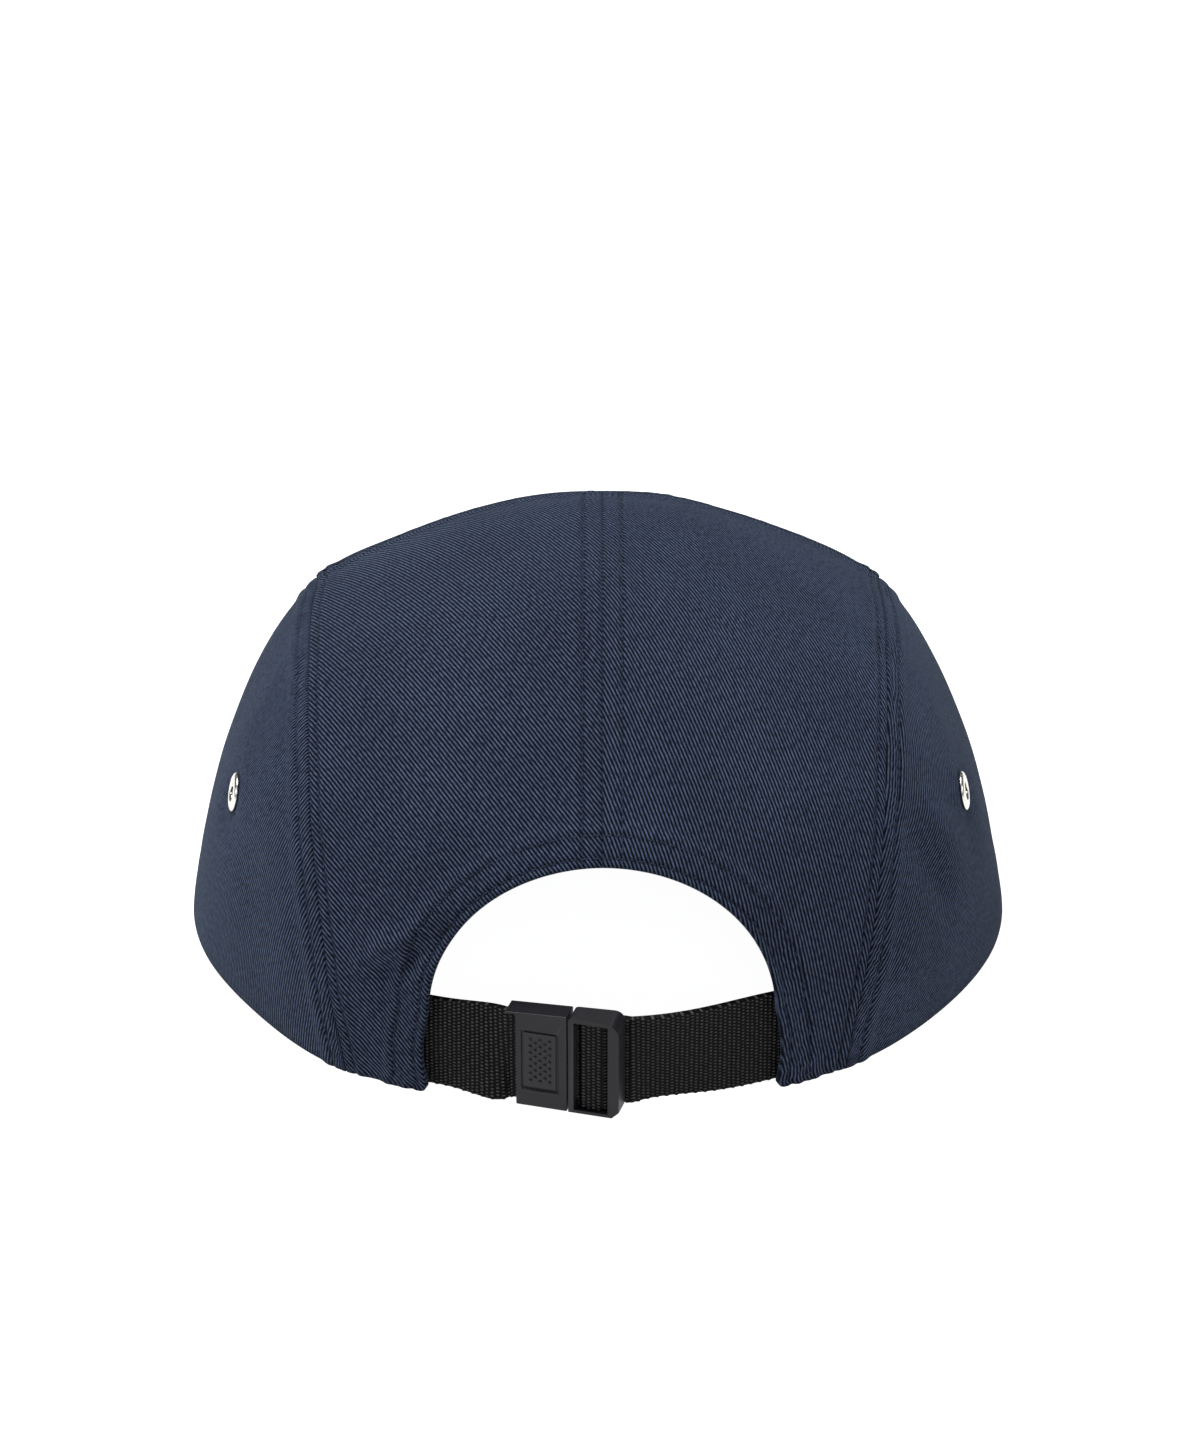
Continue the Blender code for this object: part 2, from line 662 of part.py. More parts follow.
def stand(pieces, cutters):
    """Puts the cap's origin on the floor under the middle of its box."""
    bpy.context.view_layer.update()
    graph = bpy.context.evaluated_depsgraph_get()
    corners = []
    for piece in pieces:
        shape = piece.evaluated_get(graph)
        corners += [shape.matrix_world @ Vector(corner) for corner in shape.bound_box]
    low = Vector([min(corner[axis] for corner in corners) for axis in range(3)])
    high = Vector([max(corner[axis] for corner in corners) for axis in range(3)])
    cap = bpy.data.objects.new("cap", None)
    bpy.context.scene.collection.objects.link(cap)
    for piece in (*pieces, *cutters):
        piece.parent = cap
    cap.location = (-(low.x + high.x) / 2, -(low.y + high.y) / 2, 0.0)


def main():
    for item in list(bpy.data.objects):
        bpy.data.objects.remove(item, do_unlink=True)
    group = bpy.data.collections.new("five_panel_cap")
    cutters = bpy.data.collections.new("cutters")
    bpy.context.scene.collection.children.link(group)
    bpy.context.scene.collection.children.link(cutters)
    twill = material("navy cotton twill", (0.025, 0.038, 0.085), 0.9)
    webbing = material("black nylon webbing", (0.012, 0.012, 0.013), 0.8)
    plastic = material("charcoal moulded plastic", (0.016, 0.016, 0.021), 0.45)
    nickel = material("nickel-plated brass", (0.80, 0.78, 0.74), 0.18, 1.0)
    add_back_panel(LEFT, "back_panel_left", twill, group)
    add_back_panel(RIGHT, "back_panel_right", twill, group)
    add_front_panel(twill, group)
    sides = {
        LEFT: add_side_panel(LEFT, "side_panel_left", twill, group),
        RIGHT: add_side_panel(RIGHT, "side_panel_right", twill, group),
    }
    add_peak(twill, group)
    for eyelet in EYELETS:
        add_eyelet(eyelet, nickel, group, cutters, sides[eyelet.side])
    add_left_strap(webbing, group)
    add_right_strap(webbing, group)
    add_buckle(plastic, group, cutters)
    stand(group.objects, cutters.objects)


main()
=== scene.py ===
# %% [markdown]
# # Five panel cap, seen from behind
# The cap is a soft crown of five cotton twill panels, with a stiff peak in front, an eyelet in each side
# and an arched opening at the back that a webbing strap and a clip buckle close. The CAD model gives the
# sizes and places. It is loaded first and never moves, and each visible piece is made to lie on it.

import math
from collections import namedtuple

import bmesh
import bpy
import numpy as np
from mathutils import Matrix, Vector
from mathutils.kdtree import KDTree


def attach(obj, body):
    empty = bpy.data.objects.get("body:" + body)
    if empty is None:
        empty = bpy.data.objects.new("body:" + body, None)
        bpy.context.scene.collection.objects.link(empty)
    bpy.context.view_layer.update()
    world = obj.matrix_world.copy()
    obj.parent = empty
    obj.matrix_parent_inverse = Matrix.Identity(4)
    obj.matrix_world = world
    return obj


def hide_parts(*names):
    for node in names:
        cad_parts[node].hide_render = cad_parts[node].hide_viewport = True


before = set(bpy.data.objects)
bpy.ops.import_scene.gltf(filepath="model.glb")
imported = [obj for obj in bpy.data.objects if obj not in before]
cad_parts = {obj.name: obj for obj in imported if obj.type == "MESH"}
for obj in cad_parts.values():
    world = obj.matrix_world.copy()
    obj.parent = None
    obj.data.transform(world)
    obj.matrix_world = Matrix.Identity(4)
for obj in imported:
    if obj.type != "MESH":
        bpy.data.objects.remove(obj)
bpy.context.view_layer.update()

# %% [markdown]
# ## Camera, light and floor
# A cap for sale is photographed in a white tent: a broad soft light above, weaker ones on both sides and
# behind the camera, and white all round. The camera looks down on the back of the cap by nearly 29
# degrees from 1.1 m, through a long lens. The floor glows, like a light table, so that the arch and the
# surroundings stay white.

# %% Where the camera stands
MM = 0.001
PHOTO_WIDTH, PHOTO_HEIGHT = 1200, 1440
CAMERA_PITCH = math.radians(28.8)
CAMERA_DISTANCE = 1.1
FOCAL_PIXELS = 4.48 * 1100
AIM_PIXEL = (598, 893)
ORIGIN = np.array([0.0, -0.0345033, 0.0])

EYE = np.array([0.0, -math.cos(CAMERA_PITCH), math.sin(CAMERA_PITCH)]) * CAMERA_DISTANCE
SIGHT = -EYE / CAMERA_DISTANCE
SIGHT_UP = np.array([0.0, math.sin(CAMERA_PITCH), math.cos(CAMERA_PITCH)])

lens = bpy.data.cameras.new("camera")
lens.lens = FOCAL_PIXELS / PHOTO_HEIGHT * lens.sensor_width
lens.shift_x = (PHOTO_WIDTH / 2 - AIM_PIXEL[0]) / PHOTO_HEIGHT
lens.shift_y = (AIM_PIXEL[1] - PHOTO_HEIGHT / 2) / PHOTO_HEIGHT
lens.clip_start, lens.clip_end = 0.05, 20
camera = bpy.data.objects.new("camera", lens)
bpy.context.scene.collection.objects.link(camera)
camera.location = Vector(EYE + ORIGIN)
camera.rotation_euler = (math.pi / 2 - CAMERA_PITCH, 0, 0)
bpy.context.scene.camera = camera
print("lens, mm:", round(lens.lens, 1))

# %% [markdown]
# ## Helpers for finishes and pieces
# Every finish is a short net of shader nodes, and every piece starts as a bmesh. These small functions
# add a node with its settings and links, or turn a bmesh into an object at the origin.

# %% Colours, nodes and objects
def linear(code):
    """An sRGB hex colour as the linear values that shaders take."""
    channels = [int(code[i : i + 2], 16) / 255 for i in (1, 3, 5)]
    values = [c / 12.92 if c <= 0.04045 else ((c + 0.055) / 1.055) ** 2.4 for c in channels]
    return (*values, 1.0)


def add_node(tree, kind, inputs=None, **settings):
    """One shader node. Its settings are set by name, and its inputs take values or other nodes' outputs."""
    made = tree.nodes.new("ShaderNode" + kind)
    for name, value in settings.items():
        setattr(made, name, value)
    for name, value in (inputs or {}).items():
        if isinstance(value, bpy.types.NodeSocket):
            tree.links.new(value, made.inputs[name])
        else:
            made.inputs[name].default_value = value
    return made


def new_material(name):
    """An empty material and its node tree."""
    made = bpy.data.materials.new(name)
    made.use_nodes = True
    made.node_tree.nodes.clear()
    return made, made.node_tree


def noise(tree, place, size, detail):
    """Smooth noise, whose patches are about as large as size."""
    return add_node(tree, "TexNoise", {"Vector": place, "Scale": 1 / size, "Detail": detail}).outputs["Fac"]


def remap(tree, value, low, high, new_low=0.0, new_high=1.0):
    """A value carried from one range to another, and kept in it."""
    limits = {"From Min": low, "From Max": high, "To Min": new_low, "To Max": new_high}
    return add_node(tree, "MapRange", {"Value": value, **limits}).outputs["Result"]


def combine(tree, operation, first, second=0.0, third=0.0):
    """One step of arithmetic."""
    return add_node(tree, "Math", {0: first, 1: second, 2: third}, operation=operation).outputs["Value"]


def scaled(tree, colour, value):
    """A colour made lighter or darker by a value."""
    return add_node(tree, "VectorMath", {0: colour, "Scale": value}, operation="SCALE").outputs["Vector"]


def blend(tree, factor, first, second):
    """A mix of two colours."""
    return add_node(tree, "Mix", {"Factor": factor, 6: first, 7: second}, data_type="RGBA").outputs[2]


def ramp(tree, value, *stops):
    """A colour from a value, through stops that each have a position and a hex colour."""
    made = add_node(tree, "ValToRGB", {"Fac": value})
    elements = made.color_ramp.elements
    for element, (position, code) in zip(elements, (stops[0], stops[-1])):
        element.position, element.color = position, linear(code)
    for position, code in stops[1:-1]:
        elements.new(position).color = linear(code)
    return made.outputs["Color"]


def bumped(tree, height, depth, strength):
    """Normals that a height bends."""
    settings = {"Height": height, "Distance": depth, "Strength": strength}
    return add_node(tree, "Bump", settings).outputs["Normal"]


def shade(tree, inputs):
    """The material's shader, joined to its output."""
    shader = add_node(tree, "BsdfPrincipled", inputs)
    add_node(tree, "OutputMaterial", {"Surface": shader.outputs["BSDF"]})


def as_object(name, mesh):
    """An object in the scene from a bmesh, which it uses up."""
    data = bpy.data.meshes.new(name)
    mesh.to_mesh(data)
    mesh.free()
    made = bpy.data.objects.new(name, data)
    bpy.context.scene.collection.objects.link(made)
    return made


# %% Soft lights above, at the sides and behind the camera
def add_softbox(name, place, aim, size, power):
    """A square area light that faces a point."""
    light = bpy.data.lights.new(name, "AREA")
    light.size = size
    light.energy = power
    softbox = bpy.data.objects.new(name, light)
    bpy.context.scene.collection.objects.link(softbox)
    softbox.location = place
    softbox.rotation_euler = (Vector(aim) - Vector(place)).to_track_quat("-Z", "Y").to_euler()


add_softbox("softbox_top", (-0.30, 0.10, 1.6), (0, 0, 0.05), 0.9, 38)
add_softbox("softbox_left", (-1.5, -0.7, 0.75), (0, -0.05, 0.04), 0.6, 5.8)
add_softbox("softbox_back", (0.1, -1.7, 0.9), (0, -0.05, 0.04), 0.6, 5)
add_softbox("softbox_right", (1.4, -0.6, 0.9), (0, 0, 0.05), 0.5, 4.5)

WORLD_STRENGTH = 0.16
world = bpy.data.worlds.new("white tent")
world.use_nodes = True
background = world.node_tree.nodes["Background"]
background.inputs["Color"].default_value = linear("#ffffff")
background.inputs["Strength"].default_value = WORLD_STRENGTH
bpy.context.scene.world = world
bpy.context.scene.view_settings.view_transform = "Standard"

# %% The floor
FLOOR_SIZE = 8.0
floor_finish, tree = new_material("white acrylic sheet, lit from below")
shade(
    tree,
    {
        "Base Color": linear("#9a9a9a"),
        "Roughness": 0.9,
        "Specular IOR Level": 0.1,
        "Emission Color": linear("#ffffff"),
        "Emission Strength": 0.97,
    },
)
ground = bmesh.new()
bmesh.ops.create_grid(ground, x_segments=1, y_segments=1, size=FLOOR_SIZE / 2)
floor = as_object("floor", ground)
floor.data.materials.append(floor_finish)

# %% [markdown]
# ## The crown's form
# The crown is one smooth form that the five panels share. Turning a half plane about a level axis, like
# the pages of a fan, cuts it in sections from the back over the top to the front. Each section is a
# superellipse, with a reach and a fullness of its own. The CAD uses the same table, so that a point
# worked out here lies on the CAD's cloth.

# %% Sizes of the crown, as in the CAD
HALF_WIDTH = 0.090
HALF_LENGTH = 0.098
CROWN_HEIGHT = 0.088
FAN_DROP = 0.014
CLOTH = 0.0016
CLEARANCE = 0.0003
RIDGE_HEIGHT = 0.0038
RIDGE_WIDTH = 0.0175
RIDGE_OUTSIDE_SEAM = 0.003
TOP_SEAM_ANGLE = 113.0
CENTRE_SHIFT = 0.0009
ARCH_HALF = 0.0361
ARCH_TOP = 0.0489
ARCH_SPRING = 0.0180
LEG_BOW = 0.0013
PEAK_THICKNESS = 0.0030
PEAK_HALF_WIDTH = 0.081
PEAK_RISE = 0.009
LIFT_AZIMUTHS = (109.0, 122.0)

Section = namedtuple("Section", "angle reach fullness seam")
SECTIONS = (
    Section(angle=0, reach=0.956, fullness=1.76, seam=0.540),
    Section(angle=30, reach=1.002, fullness=2.04, seam=0.611),
    Section(angle=60, reach=1.019, fullness=2.17, seam=0.650),
    Section(angle=90, reach=1.000, fullness=2.10, seam=0.662),
    Section(angle=120, reach=1.009, fullness=2.17, seam=0.672),
    Section(angle=150, reach=1.047, fullness=2.15, seam=0.765),
    Section(angle=180, reach=1.010, fullness=2.10, seam=0.880),
)
Dent = namedtuple("Dent", "angle side depth spread")
DENTS = (Dent(angle=14, side=0.60, depth=0.019, spread=0.267),)

CENTRE = np.array([0.0, 0.0, -FAN_DROP])
RADII = np.array([HALF_WIDTH, HALF_LENGTH, CROWN_HEIGHT + FAN_DROP])
LEFT, RIGHT = -1, 1


# %% Curves and directions
def smooth(value, low, high):
    """From 0 to 1 on a soft step between two values."""
    t = np.clip((value - low) / (high - low), 0, 1)
    return t * t * (3 - 2 * t)


def curve(t, start, start_slope, end, end_slope):
    """A cubic curve between two values or places, with a slope at each end."""
    leave = start * (1 + 2 * t) * (1 - t) ** 2 + start_slope * t * (1 - t) ** 2
    return leave + end * t * t * (3 - 2 * t) + end_slope * t * t * (t - 1)


def unit(vectors):
    """Vectors of length one."""
    return vectors / np.linalg.norm(vectors, axis=-1, keepdims=True)


# %% Points on the crown
def section(angle):
    """Reach, fullness and seam at fan angles in degrees, on smooth curves through SECTIONS."""
    table = np.array(SECTIONS)
    step = table[1, 0] - table[0, 0]
    first, last = table[0].copy(), table[-1].copy()
    first[0] -= step
    last[0] += step
    table = np.vstack([first, table, last])
    knots = table[:, 0]
    at = np.clip(np.searchsorted(knots, angle) - 1, 0, len(knots) - 2)
    width = knots[at + 1] - knots[at]
    t = np.clip((angle - knots[at]) / width, 0, 1)
    values = []
    for column in (1, 2, 3):
        y = table[:, column]
        slope = np.gradient(y, knots)
        values.append(curve(t, y[at], slope[at] * width, y[at + 1], slope[at + 1] * width))
    return values


def on_crown(points):
    """Points moved along their rays from the fan's centre onto the crown's outer surface."""
    ray = np.atleast_2d(points) - CENTRE
    share = ray / RADII
    swing = np.hypot(share[:, 1], share[:, 2])
    angle = np.degrees(np.arctan2(share[:, 2], -share[:, 1]))
    angle = np.where(angle < -90, angle + 360, angle)
    reach, fullness, seam = section(angle)
    stretch = (np.abs(share[:, 0]) ** fullness + (swing / reach) ** fullness) ** (-1 / fullness)
    ray = ray * stretch[:, None]
    from_ridge = np.abs(ray[:, 0]) - seam * HALF_WIDTH - RIDGE_OUTSIDE_SEAM
    lift = RIDGE_HEIGHT * np.exp(-((from_ridge / RIDGE_WIDTH) ** 2))
    for dent in DENTS:
        swing = (1 - abs(dent.side) ** 2) ** 0.5
        turn = math.radians(dent.angle)
        place = RADII * (dent.side, -swing * math.cos(turn), swing * math.sin(turn))
        from_dent = np.linalg.norm(ray - place, axis=1) / (dent.spread * HALF_WIDTH)
        lift -= dent.depth * HALF_WIDTH * np.exp(-(from_dent**2))
    return CENTRE + ray * (1 + lift / np.linalg.norm(ray, axis=1))[:, None]


def crown_normals(points):
    """Outward unit normals of the crown at points on it."""
    ray = unit(points - CENTRE)
    across = unit(np.cross(ray, [1.0, 0.0, 0.0]))
    along = np.cross(ray, across)
    step = 0.5 * MM
    one = on_crown(points + across * step) - on_crown(points - across * step)
    two = on_crown(points + along * step) - on_crown(points - along * step)
    normal = unit(np.cross(one, two))
    return normal * np.sign(np.sum(normal * ray, axis=1))[:, None]


def bisect(function, low, high):
    """Where a rising function crosses zero, for whole arrays at once."""
    low, high = np.array(low, float), np.array(high, float)
    for _ in range(44):
        middle = (low + high) / 2
        above = function(middle) > 0
        high = np.where(above, middle, high)
        low = np.where(above, low, middle)
    return (low + high) / 2


def outside(points):
    """How far points lie outside the crown, along their rays."""
    return np.linalg.norm(points - CENTRE, axis=1) - np.linalg.norm(on_crown(points) - CENTRE, axis=1)


def fan_points(angle, side):
    """Crown points at fan angles, with side as the share of HALF_WIDTH from the middle."""
    reach, fullness, _ = section(angle)
    swing = reach * (1 - np.abs(side) ** fullness) ** (1 / fullness)
    radians = np.radians(angle)
    share = np.stack([side, -swing * np.cos(radians), swing * np.sin(radians)], axis=1)
    return on_crown(CENTRE + share * RADII)


# %% The lower edge
def peak_top(x):
    """Height of the peak's upper face, which is curved across."""
    return PEAK_THICKNESS + PEAK_RISE * (1 - (x / PEAK_HALF_WIDTH) ** 2)


def rim_height(points):
    """Height of the crown's lower edge: on the floor, and lifted over the peak in front."""
    azimuth = np.degrees(np.arctan2(np.abs(points[:, 0]), -points[:, 1]))
    return smooth(azimuth, *LIFT_AZIMUTHS) * (peak_top(points[:, 0]) + CLEARANCE)


def rim_points(azimuth):
    """Points of the crown's lower edge at plan azimuths: 0 at the back, 90 at the right, 180 in front."""
    radians = np.radians(azimuth)
    plan = np.stack([np.sin(radians), -np.cos(radians), 0 * radians], axis=1)

    def at(radius):
        points = plan * radius[:, None]
        points[:, 2] = rim_height(points)
        return points

    return at(bisect(lambda r: outside(at(r)), 0 * azimuth + HALF_WIDTH / 3, 0 * azimuth + 2 * HALF_WIDTH))


def azimuth_of(point):
    """Plan azimuth of a point, in degrees."""
    return math.degrees(math.atan2(point[0], -point[1])) % 360


def rim_between(start, end):
    """The lower edge between two of its points, the short way round."""
    first, last = azimuth_of(start), azimuth_of(end)
    if last - first > 180:
        last -= 360
    if first - last > 180:
        first -= 360
    return rim_points(np.linspace(first, last, 200))


# %% The seams
def back_points(x, z):
    """Crown points behind, at given x and z."""
    x, z = np.broadcast_arrays(np.atleast_1d(x).astype(float), z)

    def at(depth):
        return np.stack([x, -depth, z], axis=1)

    return at(bisect(lambda d: outside(at(d)), 0 * x + HALF_LENGTH / 3, 0 * x + 1.5 * HALF_LENGTH))


def seam_angle_at_rim(low, high, rising):
    """Fan angle at which the side seam meets the lower edge."""

    def height(angle):
        points = fan_points(angle, section(angle)[2])
        return rising * (points[:, 2] - rim_height(points))

    return float(bisect(height, [low], [high])[0])


def side_seam(side, first, last):
    """The side seam from one fan angle to another."""
    angle = np.linspace(first, last, 300)
    return fan_points(angle, side * section(angle)[2])


def centre_seam():
    """The seam between the back panels, from the front panel down to the arch."""
    side = CENTRE_SHIFT / HALF_WIDTH
    low = bisect(lambda a: fan_points(a, 0 * a + side)[:, 2] - ARCH_TOP, [0], [90])[0]
    angle = np.linspace(TOP_SEAM_ANGLE, low, 300)
    return fan_points(angle, 0 * angle + side)


# The turned hem rounds the foot of each leg, which is square in the CAD
FOOT_ROUNDING = 0.0016


def arch_edge(side):
    """The edge of the arch from its top down to the foot of one leg."""
    turn = np.linspace(0, math.pi / 2, 200)
    leg = np.linspace(0, 1, 120)[1:]
    corner = np.clip(1 - ARCH_SPRING * (1 - leg) / FOOT_ROUNDING, 0, 1)
    bow = LEG_BOW * np.sin(math.pi * leg) + FOOT_ROUNDING * (1 - np.sqrt(1 - corner**2))
    across = np.concatenate([ARCH_HALF * np.sin(turn), ARCH_HALF + bow])
    round_top = ARCH_SPRING + (ARCH_TOP - ARCH_SPRING) * np.cos(turn)
    height = np.concatenate([round_top, ARCH_SPRING * (1 - leg)])
    return back_points(CENTRE_SHIFT + side * across, height)


def top_seam(side):
    """The front panel's upper seam, from the middle to a side seam."""
    share = side * float(section(np.array([TOP_SEAM_ANGLE]))[2][0])
    share = np.linspace(CENTRE_SHIFT / HALF_WIDTH, share, 160)
    return fan_points(0 * share + TOP_SEAM_ANGLE, share)


def seen_at(x, y):
    """Where the camera sees the back of the crown at a pixel of the photograph."""
    ray = SIGHT + np.array([1.0, 0, 0]) * (x - AIM_PIXEL[0]) / FOCAL_PIXELS
    ray = ray - SIGHT_UP * (y - AIM_PIXEL[1]) / FOCAL_PIXELS
    near = CAMERA_DISTANCE - 1.6 * HALF_LENGTH
    distance = np.linspace(near, CAMERA_DISTANCE, 400)
    hit = np.argmax(outside(EYE + ray * distance[:, None]) < 0)
    return on_crown((EYE + ray * distance[hit])[None])[0]


def length_of(line):
    """The whole length of a line of points."""
    return float(np.linalg.norm(np.diff(line, axis=0), axis=1).sum())


def lengths_to(line):
    """How far along a line each of its points is."""
    return np.concatenate([[0], np.cumsum(np.linalg.norm(np.diff(line, axis=0), axis=1))])


back_rim = seam_angle_at_rim(0, 45, 1)
front_rim = seam_angle_at_rim(140, 176, -1)
print("centre seam, mm:", round(1000 * length_of(centre_seam()), 1))
print("arch, mm:", round(1000 * length_of(arch_edge(RIGHT)), 1))
print("side seam, mm:", round(1000 * length_of(side_seam(RIGHT, back_rim, front_rim)), 1))

# %% [markdown]
# ## Seams, hems and folds
# Where two panels meet, both turn inwards in a crease, and their allowances lie beneath, so the cloth
# stands up in a band beside the seam until past its row of stitches. The stitches pull the cloth down in
# a groove, and between them and the crease it puckers. Each such line is described once, by the distance
# of its rows and the height of its band, and one function works out from that how far the cloth lies off
# the crown's form. It is real relief in the mesh, because a bump alone leaves the outline smooth.

# %% Kinds of seam and hem
# rows: distances of the stitch rows; band and raised: width and height of the doubled cloth; turn: how far
# in from the edge the cloth rounds over; pucker: height of the wrinkles
Kind = namedtuple("Kind", "rows band raised turn pucker")
OUTER_SEAM = Kind(rows=(3.3 * MM,), band=6.0 * MM, raised=0.62 * MM, turn=0.6 * MM, pucker=0.17 * MM)
INNER_SEAM = Kind(rows=(2.3 * MM,), band=4.2 * MM, raised=0.50 * MM, turn=0.6 * MM, pucker=0.13 * MM)
MIDDLE_SEAM = Kind(rows=(4.1 * MM,), band=6.0 * MM, raised=0.36 * MM, turn=0.4 * MM, pucker=0.09 * MM)
FRONT_SEAM = Kind(rows=(3.0 * MM,), band=6.0 * MM, raised=0.60 * MM, turn=0.8 * MM, pucker=0.20 * MM)
ARCH_HEM = Kind(rows=(1.8 * MM, 6.5 * MM), band=8.2 * MM, raised=0.85 * MM, turn=0.9 * MM, pucker=0.20 * MM)
RIM_HEM = Kind(rows=(), band=7.0 * MM, raised=0.15 * MM, turn=0.8 * MM, pucker=0.0)

STITCH_PITCH = 2.3 * MM
GROOVE_DEPTH = 0.38 * MM
GROOVE_WIDTH = 0.55 * MM
# Painted shade: the cloth's colour is darkened along each stitch row, beside each seam's crease and along
# the lower edge, by these strengths and widths
ROW_SHADE = 0.32 * MM
ROW_SHADE_STRENGTH = 0.8
Shade = namedtuple("Shade", "strength width")
SEAM_SHADE = Shade(strength=0.5, width=0.4 * MM)
RIM_SHADE = Shade(strength=1.0, width=0.8 * MM)
TURNED_IN = 0.96
EDGE_DROP = 0.35 * MM


def wander(value, seed):
    """A smooth uneven wave between about -1 and 1, the same on each run."""
    phases = np.random.default_rng(seed).uniform(0, math.tau, 4)
    waves = zip((1.0, 1.73, 2.61, 4.37), (0.5, 0.4, 0.3, 0.2), phases)
    return sum(share * np.sin(pace * value + phase) for pace, share, phase in waves)


def from_line(points, line):
    """Distance of points from a line, and how far along it the nearest place is."""
    tree = KDTree(len(line))
    for number, place in enumerate(line):
        tree.insert(place, number)
    tree.balance()
    nearest = np.array([tree.find(point)[1] for point in points], int)
    lengths = lengths_to(line)
    best, along = np.full(len(points), np.inf), np.zeros(len(points))
    for start in (np.maximum(nearest - 1, 0), np.minimum(nearest, len(line) - 2)):
        step = line[start + 1] - line[start]
        share = np.sum((points - line[start]) * step, axis=1) / np.maximum(np.sum(step**2, axis=1), 1e-15)
        share = np.clip(share, 0, 1)
        distance = np.linalg.norm(points - line[start] - share[:, None] * step, axis=1)
        closer = distance < best
        best = np.where(closer, distance, best)
        along = np.where(closer, lengths[start] + share * (lengths[start + 1] - lengths[start]), along)
    return best, along


def relief_of(kind, distance, along, seed):
    """Height of the cloth off the crown's form beside one seam or hem."""
    height = kind.raised * (1 - smooth(distance, kind.band - 1.2 * MM, kind.band + 1.8 * MM))
    for row in kind.rows:
        pull = 0.75 + 0.25 * np.cos(math.tau * along / STITCH_PITCH)
        height -= GROOVE_DEPTH * pull * np.exp(-(((distance - row) / GROOVE_WIDTH) ** 2))
    if kind.pucker:
        reach = max(kind.rows)
        where = smooth(distance, 0.3 * MM, 1.8 * MM) * (1 - smooth(distance, 0.8 * reach, reach + 1.5 * MM))
        slanted = along + 0.7 * distance
        wave = np.sin(math.tau * slanted / STITCH_PITCH + 2.2 * wander(along / (6 * MM), seed))
        strength = 0.55 + 0.45 * wander(along / (11 * MM), seed + 1)
        height += kind.pucker * where * wave * strength
    return height


def turned_edge(kind, distance):
    """How far an edge has rounded over, from 0 on the flat cloth to 1 at the edge."""
    t = np.clip(1 - distance / kind.turn, 0, 1) * TURNED_IN
    return 1 - np.sqrt(1 - t * t)


# %% Folds and slow waves
# A row for each fold: from and to, pixels of the photograph; depth, where below zero is a rise; width
Fold = namedtuple("Fold", "start end depth width")
FOLDS = (
    Fold(start=(418, 943), end=(409, 976), depth=1.5 * MM, width=1.4 * MM),
    Fold(start=(410, 938), end=(366, 956), depth=-1.5 * MM, width=2.8 * MM),
    Fold(start=(404, 962), end=(370, 982), depth=1.2 * MM, width=2.6 * MM),
    Fold(start=(452, 925), end=(409, 962), depth=1.7 * MM, width=2.8 * MM),
    Fold(start=(438, 918), end=(396, 975), depth=-1.0 * MM, width=5.0 * MM),
    Fold(start=(405, 975), end=(398, 1060), depth=0.8 * MM, width=3.0 * MM),
    Fold(start=(352, 1000), end=(385, 1040), depth=0.5 * MM, width=8.0 * MM),
    Fold(start=(768, 925), end=(800, 1000), depth=2.0 * MM, width=3.2 * MM),
    Fold(start=(800, 1000), end=(806, 1060), depth=1.2 * MM, width=3.4 * MM),
    Fold(start=(906, 832), end=(950, 905), depth=1.5 * MM, width=4.6 * MM),
    Fold(start=(915, 800), end=(965, 870), depth=-1.2 * MM, width=6.0 * MM),
    Fold(start=(880, 985), end=(930, 940), depth=-0.8 * MM, width=7.0 * MM),
    Fold(start=(250, 850), end=(262, 940), depth=0.8 * MM, width=8.0 * MM),
    Fold(start=(335, 1010), end=(372, 965), depth=-0.8 * MM, width=7.0 * MM),
)
FOLD_LINES = [(on_crown(np.linspace(seen_at(*fold.start), seen_at(*fold.end), 30)), fold) for fold in FOLDS]
WAVE_SIZE = 17 * MM
WAVE_HEIGHT = 0.28 * MM


# The cloth lies flat round each eyelet, pressed down a little and square to the eyelet's axis.
# Height and behind are shares of CROWN_HEIGHT and HALF_LENGTH
Eyelet = namedtuple("Eyelet", "name node side height behind")
EYELETS = (
    Eyelet(name="eyelet_left", node="side_panel_left", side=-1, height=0.451, behind=0.279),
    Eyelet(name="eyelet_right", node="side_panel_right", side=1, height=0.445, behind=0.262),
)
PRESSED_RADIUS = 7.5 * MM
PRESSED_DEPTH = 0.15 * MM
EYELET_TURN = math.radians(4)
EYELET_STEEPER = 0.16


def eyelet_centre(eyelet):
    """Where an eyelet's axis goes through the crown."""
    behind, height = eyelet.behind * HALF_LENGTH, eyelet.height * CROWN_HEIGHT

    def at(x):
        return np.stack([eyelet.side * x, 0 * x - behind, 0 * x + height], axis=1)

    return at(bisect(lambda x: outside(at(x)), [HALF_WIDTH / 2], [1.5 * HALF_WIDTH]))


def eyelet_axis(eyelet):
    """An eyelet's centre, and the way it faces: a little steeper and further forward than the crown."""
    centre = eyelet_centre(eyelet)[0]
    normal = crown_normals(centre[None])[0]
    facing = Matrix.Rotation(eyelet.side * EYELET_TURN, 3, "Z") @ Vector(normal + (0, 0, -EYELET_STEEPER))
    return centre, normal, np.array(facing.normalized())


EYELET_AXES = {eyelet.node: eyelet_axis(eyelet) for eyelet in EYELETS}


